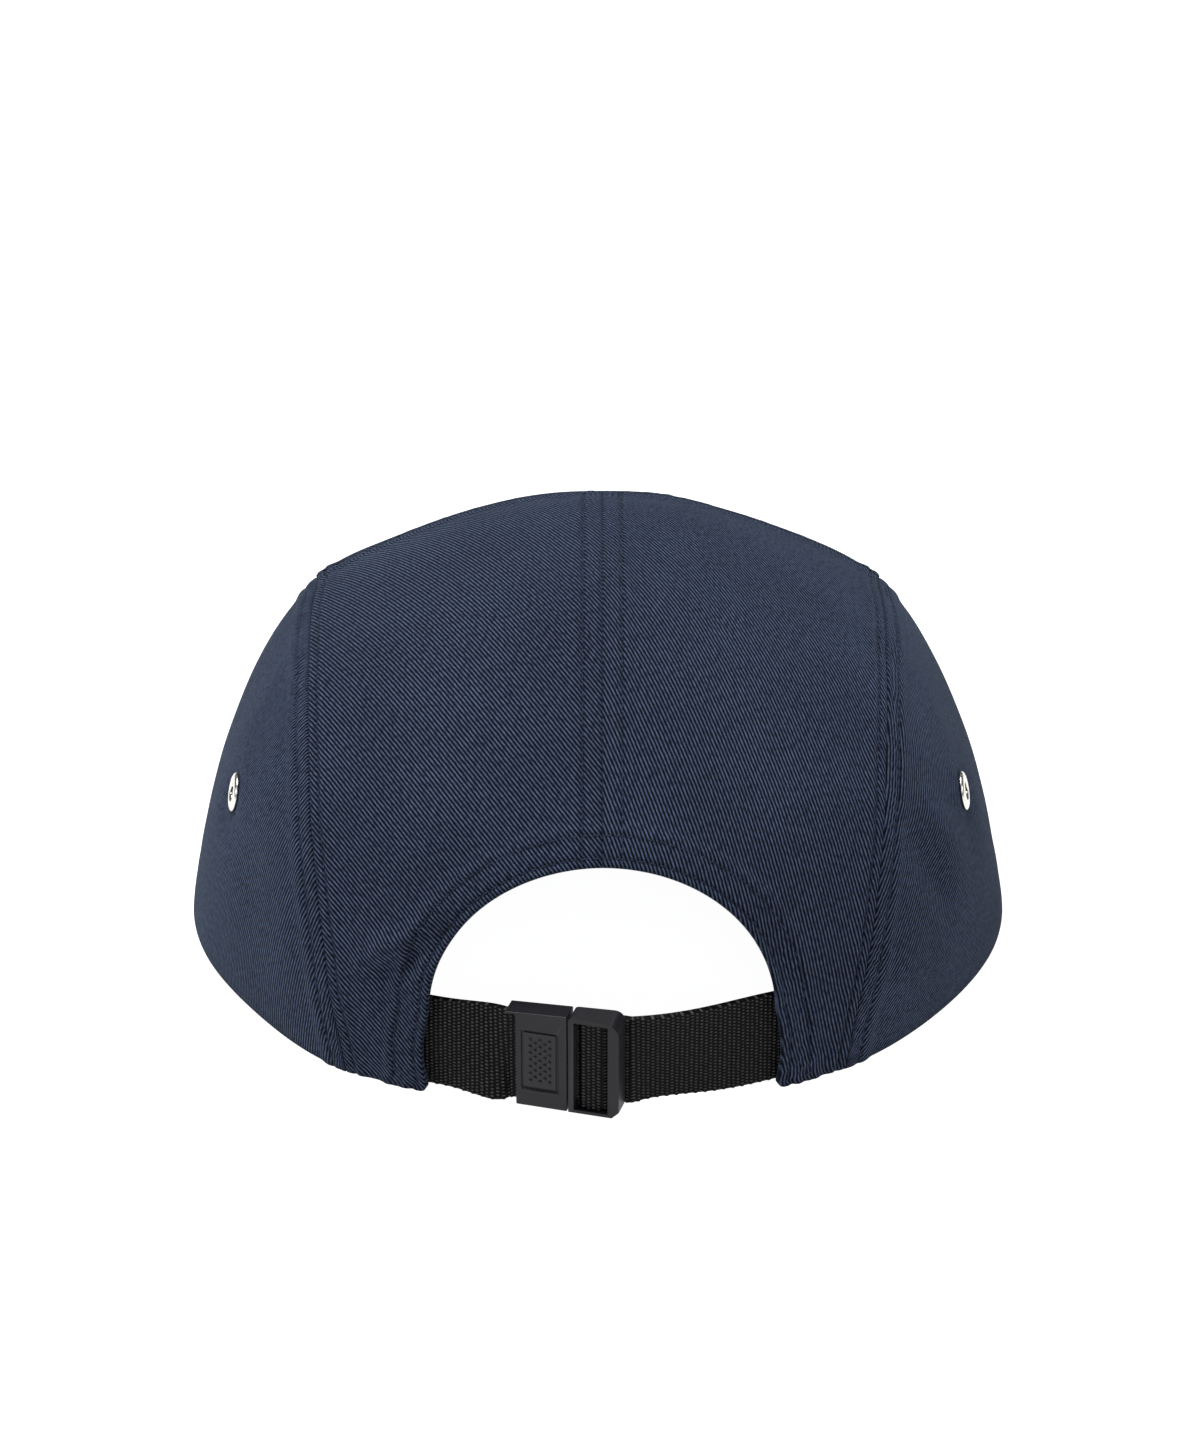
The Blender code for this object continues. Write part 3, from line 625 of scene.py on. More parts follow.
def folded(points):
    """Height of the folds and slow waves at points of the crown."""
    height = WAVE_HEIGHT * wander(points[:, 0] / WAVE_SIZE + 0.6 * wander(points[:, 2] / WAVE_SIZE, 5), 3)
    height += WAVE_HEIGHT * wander(points[:, 2] / WAVE_SIZE + 0.7 * wander(points[:, 1] / WAVE_SIZE, 7), 4)
    height *= smooth(points[:, 2], 2 * MM, 14 * MM)
    for line, fold in FOLD_LINES:
        near = np.linalg.norm(points - line.mean(axis=0), axis=1) < length_of(line) / 2 + 3 * fold.width
        distance, along = from_line(points[near], line)
        share = along / length_of(line)
        strength = 0.35 + 0.65 * np.sin(math.pi * share)
        height[near] -= fold.depth * np.exp(-((distance / fold.width) ** 2)) * strength
    for centre, normal, facing in EYELET_AXES.values():
        pressed = np.exp(-((np.linalg.norm(points - centre, axis=1) / PRESSED_RADIUS) ** 4))
        height = height * (1 - pressed) - (PRESSED_DEPTH + (points - centre) @ (facing - normal)) * pressed
    return height


print("folds, mm:", [round(1000 * length_of(line)) for line, _ in FOLD_LINES])

# %% [markdown]
# ## The five panels
# Each panel is a grid of points laid on the crown between its four edges, with fine steps beside its
# seams, where the relief is, and coarser ones in the middle. A back panel has five sides, so it is made
# of two such nets, which meet on a line from the top of the arch to the side seam. Extruding the net
# inwards gives the cloth its thickness. To know where the threads run, the net is also laid flat, as the
# panel was before sewing, and the flat places in metres become its UV map.

# %% Nets of points on the crown
def steps(length, fine, coarse, near):
    """Places along a line as shares of its length, close together near its ends."""
    places = [0.0]
    while places[-1] < length:
        here = places[-1]
        places.append(here + (fine if min(here, length - here) < near else coarse))
    return np.array(places) / places[-1]


def line_at(line, shares):
    """Points of a line at shares of its length."""
    lengths = lengths_to(line)
    return np.stack([np.interp(shares * lengths[-1], lengths, line[:, axis]) for axis in range(3)], axis=1)


def net_between(top, bottom, left, right, across, down):
    """A net of crown points spanned by four lines, rows from top to bottom."""
    top, bottom = line_at(top, across), line_at(bottom, across)
    left, right = line_at(left, down), line_at(right, down)
    v, u = down[:, None, None], across[None, :, None]
    net = (1 - v) * top[None] + v * bottom[None] + (1 - u) * left[:, None] + u * right[:, None]
    net = net - (1 - u) * (1 - v) * top[0] - u * (1 - v) * top[-1]
    net = net - (1 - u) * v * bottom[0] - u * v * bottom[-1]
    rows, columns = net.shape[:2]
    net = on_crown(net.reshape(-1, 3)).reshape(rows, columns, 3)
    net[0], net[-1] = top, bottom
    net[:, 0], net[:, -1] = left, right
    return net


FINE, COARSE, NEAR = 0.55 * MM, 1.5 * MM, 8 * MM
PLAIN = 0.8 * MM
SIDE_HEIGHT = 0.07
CORNER_ANGLE = 62.0


def back_net(side):
    """Half of the back: one net above the arch and one beside it."""
    corner = np.array([CORNER_ANGLE])
    corner = on_crown(fan_points(corner, side * section(corner)[2]))[0]
    middle, arch, top = centre_seam(), arch_edge(side), top_seam(side)
    upper_side = side_seam(side, TOP_SEAM_ANGLE, CORNER_ANGLE)
    lower_side = side_seam(side, CORNER_ANGLE, back_rim)
    shared = on_crown(np.linspace(arch[0], corner, 120))
    rim = rim_between(arch[-1], lower_side[-1])
    across = steps(length_of(shared), FINE, COARSE, NEAR)
    upper = net_between(top, shared, middle, upper_side, across, steps(length_of(middle), PLAIN, PLAIN, 0))
    lower = net_between(shared, rim, arch, lower_side, across, steps(length_of(arch), FINE, FINE, 0))
    return np.concatenate([upper, lower[1:]]), len(upper) - 1


def side_net(side):
    """One side: each column runs from the seam down to the rim."""
    seam = side_seam(side, back_rim, front_rim)
    rim = rim_between(seam[0], seam[-1])
    columns = steps(length_of(seam), FINE, FINE, 0)
    down = steps(SIDE_HEIGHT, FINE, COARSE, NEAR)
    left, right = np.repeat(seam[:1], 2, axis=0), np.repeat(seam[-1:], 2, axis=0)
    return net_between(seam, rim, left, right, columns, down)


def front_net():
    """The front, from seam to seam and from the top seam down to the peak."""
    left = side_seam(LEFT, TOP_SEAM_ANGLE, front_rim)
    right = side_seam(RIGHT, TOP_SEAM_ANGLE, front_rim)
    top = np.vstack([top_seam(LEFT)[::-1], top_seam(RIGHT)[1:]])
    bottom = rim_between(left[-1], right[-1])
    across = steps(length_of(top), PLAIN, 1.8 * MM, NEAR)
    return net_between(top, bottom, left, right, across, steps(length_of(left), PLAIN, COARSE, NEAR))


def grid_of(net):
    """A bmesh grid whose vertices lie at a net's points, in their order."""
    rows, columns = net.shape[:2]
    mesh = bmesh.new()
    bmesh.ops.create_grid(mesh, x_segments=columns - 1, y_segments=rows - 1, size=0.5)
    for vertex, place in zip(mesh.verts, net.reshape(-1, 3)):
        vertex.co = Vector(place)
    return mesh


# %% Laying a panel flat
def picks(count, wanted):
    """About evenly spread numbers up to count, with both ends."""
    return np.unique(np.linspace(0, count - 1, wanted).round().astype(int))


def lengths_along(net):
    """Distance of each point of a net from the first of its row."""
    return np.pad(np.linalg.norm(np.diff(net, axis=1), axis=2), ((0, 0), (1, 0))).cumsum(axis=1)


def vertices_of_corners(data):
    """The number of the vertex at each corner of a mesh's faces."""
    found = np.zeros(len(data.loops), int)
    data.loops.foreach_get("vertex_index", found)
    return found


def thread_total(net):
    """The length of all a net's threads, in both directions."""
    return sum(np.linalg.norm(np.diff(net, axis=axis), axis=2).sum() for axis in (0, 1))


def laid_flat(net, name, fold_row):
    """Flat places in metres for a net's points, from unwrapping a coarse copy with little stretch."""
    rows, columns = np.union1d(picks(net.shape[0], 40), [fold_row]), picks(net.shape[1], 26)
    coarse = net[np.ix_(rows, columns)]
    mesh = grid_of(coarse)
    pattern = as_object(name + "_pattern", mesh)
    pattern.data.uv_layers.new(name="flat")
    bpy.context.view_layer.objects.active = pattern
    bpy.ops.object.mode_set(mode="EDIT")
    bpy.ops.mesh.select_all(action="SELECT")
    bpy.ops.uv.unwrap(method="MINIMUM_STRETCH", margin=0.0, iterations=30)
    bpy.ops.object.mode_set(mode="OBJECT")
    data = pattern.data
    corner_vertex = vertices_of_corners(data)
    corner_place = np.zeros(2 * len(data.loops))
    data.uv_layers[0].uv.foreach_get("vector", corner_place)
    flat = np.zeros((len(data.vertices), 2))
    flat[corner_vertex] = corner_place.reshape(-1, 2)
    bpy.data.objects.remove(pattern)
    flat = flat.reshape(len(rows), len(columns), 2)
    flat *= thread_total(coarse) / thread_total(flat)
    along_rows, along_columns = lengths_along(net), lengths_along(net.transpose(1, 0, 2))
    wide = np.array(
        [
            [np.interp(along_rows[row], along_rows[row, columns], places[:, axis]) for axis in (0, 1)]
            for row, places in zip(rows, flat)
        ]
    )
    full = [
        [np.interp(lengths, lengths[rows], wide[:, axis, column]) for axis in (0, 1)]
        for column, lengths in enumerate(along_columns)
    ]
    return np.array(full).transpose(2, 0, 1)


def turned(flat, line, wanted_degrees, mirrored):
    """The flat places turned so that the step from one of their points to another has the wanted slope."""
    if mirrored:
        flat = flat * (-1, 1)
        line = line * (-1, 1)
    step = line[1] - line[0]
    turn = math.radians(wanted_degrees) - math.atan2(step[1], step[0])
    spin = np.array([[math.cos(turn), math.sin(turn)], [-math.sin(turn), math.cos(turn)]])
    return flat @ spin


# %% From a net to a piece of cloth
HOLE_RADIUS = 3.2 * MM


def cloth_piece(name, outer, inner, flat, crease, hole=None):
    """A closed sheet from two matching nets, with its flat places as a UV map in metres."""
    mesh = grid_of(outer + ORIGIN)
    inner = inner.reshape(-1, 3) + ORIGIN
    number = mesh.verts.layers.int.new("number")
    for count, vertex in enumerate(mesh.verts):
        vertex[number] = count
    made = bmesh.ops.extrude_face_region(mesh, geom=mesh.faces[:])
    for item in made["geom"]:
        if isinstance(item, bmesh.types.BMVert):
            item.co = Vector(inner[item[number]])
    bmesh.ops.remove_doubles(mesh, verts=mesh.verts, dist=1e-7)
    if hole is not None:
        middle = Vector(hole + ORIGIN)
        inside = [one for one in mesh.faces if (one.calc_center_median() - middle).length < HOLE_RADIUS]
        bmesh.ops.delete(mesh, geom=inside, context="FACES")
        bmesh.ops.bridge_loops(mesh, edges=[edge for edge in mesh.edges if edge.is_boundary])
    bmesh.ops.recalc_face_normals(mesh, faces=mesh.faces)
    piece = as_object(name, mesh)
    data = piece.data
    numbers = np.zeros(len(data.vertices), int)
    data.attributes["number"].data.foreach_get("value", numbers)
    places = flat.reshape(-1, 2)[numbers[vertices_of_corners(data)]]
    data.uv_layers.new(name="flat").uv.foreach_set("vector", places.ravel())
    # The crease attribute darkens the cloth's colour as painted shade
    data.attributes.new("crease", "FLOAT", "POINT").data.foreach_set("value", crease.ravel()[numbers])
    data.attributes.remove(data.attributes["number"])
    data.shade_smooth()
    return piece


def lie_of(points, seams, hold):
    """Height of the cloth off the crown's form, how far its edge turns in, and how near a crease, a stitch
    row or the lower edge it is, which sets its painted shade.
    """
    height = folded(points)
    turn, crease = np.zeros(len(points)), np.zeros(len(points))
    for number, (line, kind) in enumerate(seams):
        distance, along = from_line(points, line)
        height += relief_of(kind, distance, along, 10 * hold + number)
        turn = np.maximum(turn, turned_edge(kind, distance))
        # Painted shade near each seam's crease, along the lower edge and along each stitch row
        edge = RIM_SHADE if kind is RIM_HEM else SEAM_SHADE
        crease = np.maximum(crease, edge.strength * np.exp(-distance / edge.width))
        for row in kind.rows:
            crease = np.maximum(crease, ROW_SHADE_STRENGTH * np.exp(-(((distance - row) / ROW_SHADE) ** 2)))
    return height, turn, crease


def dressed(net, seams, hold):
    """Outer and inner faces of a panel's cloth, and how near a crease each place is, which sets its painted
    shade.
    """
    points = net.reshape(-1, 3)
    normals = crown_normals(points)
    height, turn, crease = lie_of(points, seams, hold)
    outer = points + normals * (height - turn * EDGE_DROP)[:, None]
    inner = points + normals * (0.5 * height - CLOTH + turn * EDGE_DROP)[:, None]
    low = rim_height(points)
    near_rim = points[:, 2] - low < 4 * MM
    for face in (outer, inner):
        face[:, 2] = np.where(near_rim, np.maximum(face[:, 2], low), face[:, 2])
    return outer.reshape(net.shape), inner.reshape(net.shape), crease


# %% Make the panels
def panel_seams():
    """The seams and hems of each panel."""
    seam = {side: side_seam(side, back_rim, front_rim) for side in (LEFT, RIGHT)}
    middle, arch = centre_seam(), {side: arch_edge(side) for side in (LEFT, RIGHT)}
    top = np.vstack([top_seam(LEFT)[::-1], top_seam(RIGHT)[1:]])
    rim = rim_points(np.linspace(0, 360, 1200))
    found = {
        "front_panel": [
            (top, FRONT_SEAM),
            (seam[LEFT], INNER_SEAM),
            (seam[RIGHT], INNER_SEAM),
            (rim, RIM_HEM),
        ]
    }
    for side, word in ((LEFT, "left"), (RIGHT, "right")):
        found["back_panel_" + word] = [
            (seam[side], INNER_SEAM),
            (middle, MIDDLE_SEAM),
            (top, MIDDLE_SEAM),
            (arch[side], ARCH_HEM),
            (rim, RIM_HEM),
        ]
        found["side_panel_" + word] = [(seam[side], OUTER_SEAM), (rim, RIM_HEM)]
    return found


SEAMS = panel_seams()
PANELS = ("back_panel_left", "back_panel_right", "side_panel_left", "side_panel_right", "front_panel")
HOLDS = {node: number for number, node in enumerate(PANELS, start=1)}
WARP_DEGREES = -90
WARP_ROW = 150
panels = {}


def add_panel(node, net, warp, mirrored, fold_row=0):
    """One panel in cloth in its CAD node's place, whose warp runs between two of the net's points."""
    outer, inner, crease = dressed(net, SEAMS[node], HOLDS[node])
    flat = laid_flat(net, node, fold_row)
    line = np.array([flat[warp[0]], flat[warp[1]]])
    flat = turned(flat, line, WARP_DEGREES, mirrored)
    hole = EYELET_AXES[node][0] if node in EYELET_AXES else None
    panels[node] = cloth_piece("cloth_" + node, outer, inner, flat, crease, hole)
    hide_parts(node)
    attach(panels[node], "root")


for side, word in ((LEFT, "left"), (RIGHT, "right")):
    net, fold_row = back_net(side)
    add_panel("back_panel_" + word, net, ((0, 0), (WARP_ROW, 0)), side == RIGHT, fold_row)
    net = side_net(side)
    half = net.shape[1] // 2
    add_panel("side_panel_" + word, net, ((0, half), (-1, half)), side == RIGHT)
net = front_net()
half = net.shape[1] // 2
add_panel("front_panel", net, ((0, half), (-1, half)), False)

# %% [markdown]
# ## Cotton twill
# The cloth is a piece-dyed cotton twill of about 250 g a square metre. In a twill each thread passes over
# three and under one, a step further each time, which draws slanting ridges, the wales, about 0.75 mm
# apart. Their tops are painted lighter, as a painted highlight, and the grooves between them darker, as
# painted shade. The wales are drawn along the panel's flat UV map, with their height in the bump and
# their painted light and shade in the colour. Short uneven flecks break them up, as the single floats of
# yarn do. Near creases, stitch rows and the lower edge the colour is darkened further, as painted shade.
# A little sheen stands for the cotton's fuzz, which lightens the cloth where it is seen at a slant.

# %% Twill
WALE_SPACING = 0.76 * MM
WALE_SWAY = 0.15
FLOAT_LENGTH = 1.3 * MM
FLOAT_WIDTH = 0.40 * MM
FLOAT_SLANT = -14
SHEEN_TINT = "#8fa3c4"
# Stops from the painted shade in the grooves, through the navy, to the painted highlight on the wales' tops
CLOTH_COLOURS = ((0.0, "#030407"), (0.3, "#121827"), (0.85, "#465167"))


def twill(name, wale_degrees):
    """Navy cotton twill, whose wales slope by an angle to the flat cloth's warp."""
    made, tree = new_material(name)
    flat = add_node(tree, "UVMap", uv_map="flat").outputs["UV"]
    turn = (0, 0, math.radians(wale_degrees))
    place = add_node(tree, "Mapping", {"Vector": flat, "Rotation": turn}).outputs["Vector"]
    across = add_node(tree, "SeparateXYZ", {"Vector": place}).outputs["X"]
    sway = noise(tree, place, 3.2 * MM, 2.0)
    swayed = combine(tree, "MULTIPLY_ADD", sway, WALE_SWAY * WALE_SPACING, across)
    wave = combine(tree, "SINE", combine(tree, "MULTIPLY", swayed, math.tau / WALE_SPACING))
    wale = remap(tree, wave, -1.0, 1.0)
    turn, scale = (0, 0, math.radians(FLOAT_SLANT)), (1 / FLOAT_WIDTH, 1 / FLOAT_LENGTH, 1.0)
    drawn_out = add_node(tree, "Mapping", {"Vector": place, "Rotation": turn, "Scale": scale})
    fleck = remap(tree, noise(tree, drawn_out.outputs["Vector"], 1.0, 2.0), 0.32, 0.66, 0.5)
    lit = combine(tree, "MULTIPLY", wale, fleck)
    patches = remap(tree, noise(tree, flat, 26 * MM, 3.0), 0.3, 0.7, 0.88, 1.1)
    # Painted shade: the colour is darkened near creases, stitch rows and the lower edge
    crease = add_node(tree, "Attribute", attribute_name="crease").outputs["Fac"]
    painted_crease_shade = remap(tree, crease, 0.0, 1.0, 1.0, 0.3)
    tops = combine(tree, "ADD", lit, wale)
    height = combine(tree, "MULTIPLY_ADD", noise(tree, flat, 0.5 * MM, 3.0), 0.5, tops)
    shade(
        tree,
        {
            "Base Color": scaled(tree, scaled(tree, ramp(tree, lit, *CLOTH_COLOURS), patches), painted_crease_shade),
            "Roughness": 0.92,
            "Specular IOR Level": 0.06,
            "Sheen Weight": 0.10,
            "Sheen Roughness": 0.45,
            "Sheen Tint": linear(SHEEN_TINT),
            "Normal": bumped(tree, height, 0.10 * MM, 0.8),
        },
    )
    return made


twills = {
    "back_panel_left": twill("cotton twill, back left", 150),
    "back_panel_right": twill("cotton twill, back right", 152),
    "side_panel_left": twill("cotton twill, side left", 5),
    "side_panel_right": twill("cotton twill, side right", 54),
    "front_panel": twill("cotton twill, front", 135),
}
for node, finish in twills.items():
    panels[node].data.materials.append(finish)

# %% [markdown]
# ## Stitches
# The seams are topstitched with navy polyester thread, about eleven stitches to the inch. Each stitch is
# one small spindle of thread that sinks into the cloth at both ends. They are copies of one shape, joined
# to a piece for each part of the cap, so that over a thousand of them stay light.

# %% Thread
THREAD_WIDTH = 0.36 * MM
THREAD_HEIGHT = 0.30 * MM
THREAD_GAP = 0.5 * MM


# Two plies, whose twist shows as slanting lines along each stitch
thread_finish, tree = new_material("spun polyester thread, navy")
along = add_node(tree, "UVMap", uv_map="along").outputs["UV"]
parts = add_node(tree, "SeparateXYZ", {"Vector": along})
slant = combine(tree, "MULTIPLY_ADD", parts.outputs["Y"], 1.0, parts.outputs["X"])
ply = combine(tree, "SINE", combine(tree, "MULTIPLY", slant, math.tau * 4))
twist = remap(tree, ply, -1.0, 1.0)
shade(
    tree,
    {
        "Base Color": blend(tree, twist, linear("#0a0f20"), linear("#1e2943")),
        "Roughness": 0.6,
        "Specular IOR Level": 0.25,
        "Normal": bumped(tree, twist, 0.05 * MM, 0.6),
    },
)


def stitch_shape():
    """One stitch: a spindle along X whose ends dip."""
    length = STITCH_PITCH - THREAD_GAP
    mesh = bmesh.new()
    mesh.loops.layers.uv.new("along")
    bmesh.ops.create_uvsphere(mesh, u_segments=6, v_segments=6, radius=0.5, calc_uvs=True)
    bmesh.ops.rotate(mesh, verts=mesh.verts, cent=(0, 0, 0), matrix=Matrix.Rotation(math.pi / 2, 3, "Y"))
    bmesh.ops.scale(mesh, verts=mesh.verts, vec=(length, THREAD_WIDTH, THREAD_HEIGHT))
    for vertex in mesh.verts:
        vertex.co.z -= 0.5 * THREAD_HEIGHT * (2 * vertex.co.x / length) ** 2
    data = bpy.data.meshes.new("stitch")
    mesh.to_mesh(data)
    mesh.free()
    return data


def add_stitches(name, rows):
    """Stitches along rows of places, each row as points with outward normals."""
    joined = bmesh.new()
    shape = stitch_shape()
    count = 0
    for points, normals in rows:
        whole = max(1, round(length_of(points) / STITCH_PITCH))
        shares = (np.arange(whole) + 0.5) / whole
        ends = line_at(points, np.clip([shares - 0.3 / whole, shares, shares + 0.3 / whole], 0, 1).ravel())
        before, middle, after = ends.reshape(3, whole, 3)
        facing = line_at(normals, shares)
        for start, place, end, up in zip(before, middle, after, facing):
            x = Vector(end - start).normalized()
            y = Vector(up).cross(x).normalized()
            turn = Matrix((x, y, x.cross(y))).transposed().to_4x4()
            one = shape.copy()
            one.transform(Matrix.Translation(Vector(place + ORIGIN)) @ turn)
            joined.from_mesh(one)
            bpy.data.meshes.remove(one)
            count += 1
    piece = as_object(name, joined)
    piece.data.shade_smooth()
    piece.data.materials.append(thread_finish)
    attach(piece, "root")
    print(name, "stitches:", count)


# %% Rows beside the seams
def beside(line, distance, towards):
    """A line on the crown at a distance from another, on the side of a given point."""
    square = np.cross(crown_normals(line), unit(np.gradient(line, axis=0)))
    side = np.sign(np.sum(square * (towards - line), axis=1))
    return on_crown(line + square * side[:, None] * distance)


def row_on(node, line):
    """A row's places on a panel's cloth, with their normals, where the row is above the rim."""
    line = line[line[:, 2] > rim_height(line) + MM]
    height, _, _ = lie_of(line, SEAMS[node], HOLDS[node])
    normals = crown_normals(line)
    return line + normals * (height + 0.06 * MM)[:, None], normals


def evenly(line):
    """A line's places about one millimetre apart."""
    return line_at(line, np.linspace(0, 1, max(2, round(length_of(line) / MM))))


# Places inside the panels, which say on which side of a seam its row lies
BACK_TOP = fan_points(np.array([75.0, 75.0]), np.array([-0.3, 0.3]))
BACK_MIDDLE, FRONT_MIDDLE = np.array([0, -0.05, 0.08]), np.array([0, 0.09, 0.03])
seam_rows, hem_rows = [], []
for side, word in ((LEFT, "left"), (RIGHT, "right")):
    back, flank = "back_panel_" + word, "side_panel_" + word
    seam = evenly(side_seam(side, back_rim, front_rim))
    flank_middle = np.array([side * 0.085, 0, 0.03])
    seam_rows.append(row_on(flank, beside(seam, OUTER_SEAM.rows[0], flank_middle)))
    behind = evenly(side_seam(side, back_rim, TOP_SEAM_ANGLE))
    seam_rows.append(row_on(back, beside(behind, INNER_SEAM.rows[0], np.zeros(3))))
    ahead = evenly(side_seam(side, TOP_SEAM_ANGLE, front_rim))
    seam_rows.append(row_on("front_panel", beside(ahead, INNER_SEAM.rows[0], np.zeros(3))))
    middle = evenly(centre_seam())
    seam_rows.append(row_on(back, beside(middle, MIDDLE_SEAM.rows[0], BACK_TOP[(side + 1) // 2])))
    top = evenly(top_seam(side))
    seam_rows.append(row_on(back, beside(top, MIDDLE_SEAM.rows[0], BACK_MIDDLE)))
    seam_rows.append(row_on("front_panel", beside(top, FRONT_SEAM.rows[0], FRONT_MIDDLE)))
    arch = evenly(arch_edge(side))
    beyond_arch = np.array([side * 0.12, -0.07, 0.12])
    for distance in ARCH_HEM.rows:
        hem_rows.append(row_on(back, beside(arch, distance, beyond_arch)))
add_stitches("stitches_seams", seam_rows)
add_stitches("stitches_arch", hem_rows)

# %% [markdown]
# ## The peak
# The peak is a board covered in the same twill, curved across and sewn through in rows that follow its
# edge. Its net runs from the root, under the front panel, out to the edge. Both faces round over at the
# edge, where the cloth turns, and the board shows through as a flat, even surface.

# %% Peak
PEAK_REACH = 0.069
PEAK_START = 0.062
PEAK_FULLNESS = 2.3
PEAK_TUCK = 0.0040
PEAK_CORNER_AZIMUTH = 124.0
PEAK_DEPTH = 0.075
PEAK_ROWS = tuple((2.5 + 6.5 * number) * MM for number in range(7))
PEAK_EDGE = Kind(rows=PEAK_ROWS, band=1.0 * MM, raised=0.0, turn=1.5 * MM, pucker=0.0)


def peak_lines(count):
    """The peak's root, under the crown, and its outer edge, from side to side."""
    corners = np.linspace(PEAK_CORNER_AZIMUTH, 360 - PEAK_CORNER_AZIMUTH, count)
    root = rim_points(corners[::-1])
    root = root - root / np.linalg.norm(root[:, :2], axis=1)[:, None] * PEAK_TUCK
    front = rim_points(np.array([180.0]))[0, 1]
    reach = front + PEAK_REACH - PEAK_START
    turn = np.radians(np.linspace(-90, 90, count))
    power = 2 / PEAK_FULLNESS
    edge = np.zeros_like(root)
    edge[:, 0] = PEAK_HALF_WIDTH * np.sign(turn) * np.abs(np.sin(turn)) ** power
    edge[:, 1] = PEAK_START + reach * np.abs(np.cos(turn)) ** power
    root[:, 2], edge[:, 2] = peak_top(root[:, 0]), peak_top(edge[:, 0])
    return root, edge


def on_peak(points):
    """Points put on the peak's upper face, with its normals."""
    points = points.copy()
    points[:, 2] = peak_top(points[:, 0])
    slope = -2 * PEAK_RISE * points[:, 0] / PEAK_HALF_WIDTH**2
    normals = np.stack([-slope, 0 * slope, 0 * slope + 1], axis=1)
    return points, unit(normals)


root, edge = peak_lines(600)
across = steps(length_of(edge), 1.3 * MM, 1.3 * MM, 0)
down = 1 - steps(2 * PEAK_DEPTH, 0.45 * MM, 1.2 * MM, 5 * MM)
down = np.sort(down[down >= 0.5] * 2 - 1)
root_line, edge_line = line_at(root, across), line_at(edge, across)
net = (1 - down)[:, None, None] * root_line[None] + down[:, None, None] * edge_line[None]
points, normals = on_peak(net.reshape(-1, 3))
distance, along = from_line(points, edge)
height = relief_of(PEAK_EDGE, distance, along, 90) * 0.6
turn = turned_edge(PEAK_EDGE, distance)
swell = normals * (height - turn * PEAK_THICKNESS / 2)[:, None]
above = points + swell
below = points - [0, 0, PEAK_THICKNESS] - swell
below[:, 2] = np.maximum(below[:, 2], 0)
above[:, 2] = np.maximum(above[:, 2], 0.05 * MM)
# The last value darkens the colour near the peak's edge, as painted shade
peak = cloth_piece(
    "cloth_peak",
    above.reshape(net.shape),
    below.reshape(net.shape),
    net[..., :2].copy(),
    np.exp(-distance / (0.5 * MM)) * 0.3,
)
peak.data.materials.append(twill("cotton twill, peak", 45))
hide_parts("peak")
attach(peak, "root")

peak_rows = []
for row in PEAK_ROWS:
    inward = np.cross([0, 0, 1.0], unit(np.gradient(edge, axis=0)))
    side = np.sign(np.sum(inward * (np.array([0, 0.09, 0]) - edge), axis=1))
    line, up = on_peak(evenly(edge + inward * row * side[:, None]))
    hidden = outside(line) < 1.5 * MM
    far, _ = from_line(line, edge)
    kept = ~hidden & (far > row - 0.4 * MM)
    if kept.sum() > 12:
        peak_rows.append((line[kept] + up[kept] * 0.02 * MM, up[kept]))
add_stitches("stitches_peak", peak_rows)

# %% [markdown]
# ## The strap
# Black nylon webbing, 20 mm wide: thick yarns run across in columns about 1 mm apart, and the ones that
# run along it pass over them in turn, so that it looks like rows of beads. The beads are in the mesh. A
# closed tube is wrapped round the strap's middle face, from a net whose two long edges are merged, and
# its outer side is raised bead by bead. The left strap goes into the socket, and the right one behind
# the plug's end bar and round its cross bar.

# %% Strap and buckle sizes, as in the CAD
STRAP_WIDTH = 0.0200
STRAP_THICKNESS = 0.0014
STRAP_RIM_HEIGHT = 0.0007
STRAP_TUCK = 0.0130
Sway = namedtuple("Sway", "side lower upper dip")
SWAYS = {
    LEFT: Sway(side=-1, lower=0.12, upper=-0.07, dip=0.015),
    RIGHT: Sway(side=1, lower=-0.11, upper=-0.01, dip=0.0),
}
SWAY_PLACE = 0.75
# The left strap's lower edge sinks a little before the socket
STRAP_SINK = 0.8 * MM
BUCKLE_X = -0.0056
BUCKLE_Y = -0.0922
BUCKLE_YAW = -16.5
BUCKLE_FOOT = 0.0005
BUCKLE_THICKNESS = 0.0050
BUCKLE_LOWER_BAR = 0.0007
BUCKLE_UPPER_BAR = 0.0004
BUCKLE_TAPER = 0.0013
SOCKET_LENGTH = 0.0134
SOCKET_POCKET = 0.0052
SOCKET_MOUTH = 0.0023
PLUG_LENGTH = 0.0110
PLUG_JOINT_BAR = 0.0013
PLUG_END_BAR = 0.0024
CROSS_BAR_THICKNESS = 0.0020
PAD_WIDTH = 0.0079
PAD_HEIGHT = 0.0140
PAD_DEPTH = 0.0004
PAD_MARGIN = 0.0020
STRAP_SLOT = STRAP_WIDTH + 2 * CLEARANCE


def buckle_place():
    """The buckle's own frame: X along it from socket to plug, -Y its front, its foot at zero."""
    turn = Matrix.Rotation(math.radians(BUCKLE_YAW), 4, "Z")
    return Matrix.Translation((BUCKLE_X, BUCKLE_Y, BUCKLE_FOOT)) @ turn


def buckle_line(x, y, heights):
    """Points across the strap's width at one place in the buckle's frame."""
    low = BUCKLE_LOWER_BAR + CLEARANCE
    return np.array([buckle_place() @ Vector((x, y, low + height)) for height in heights])


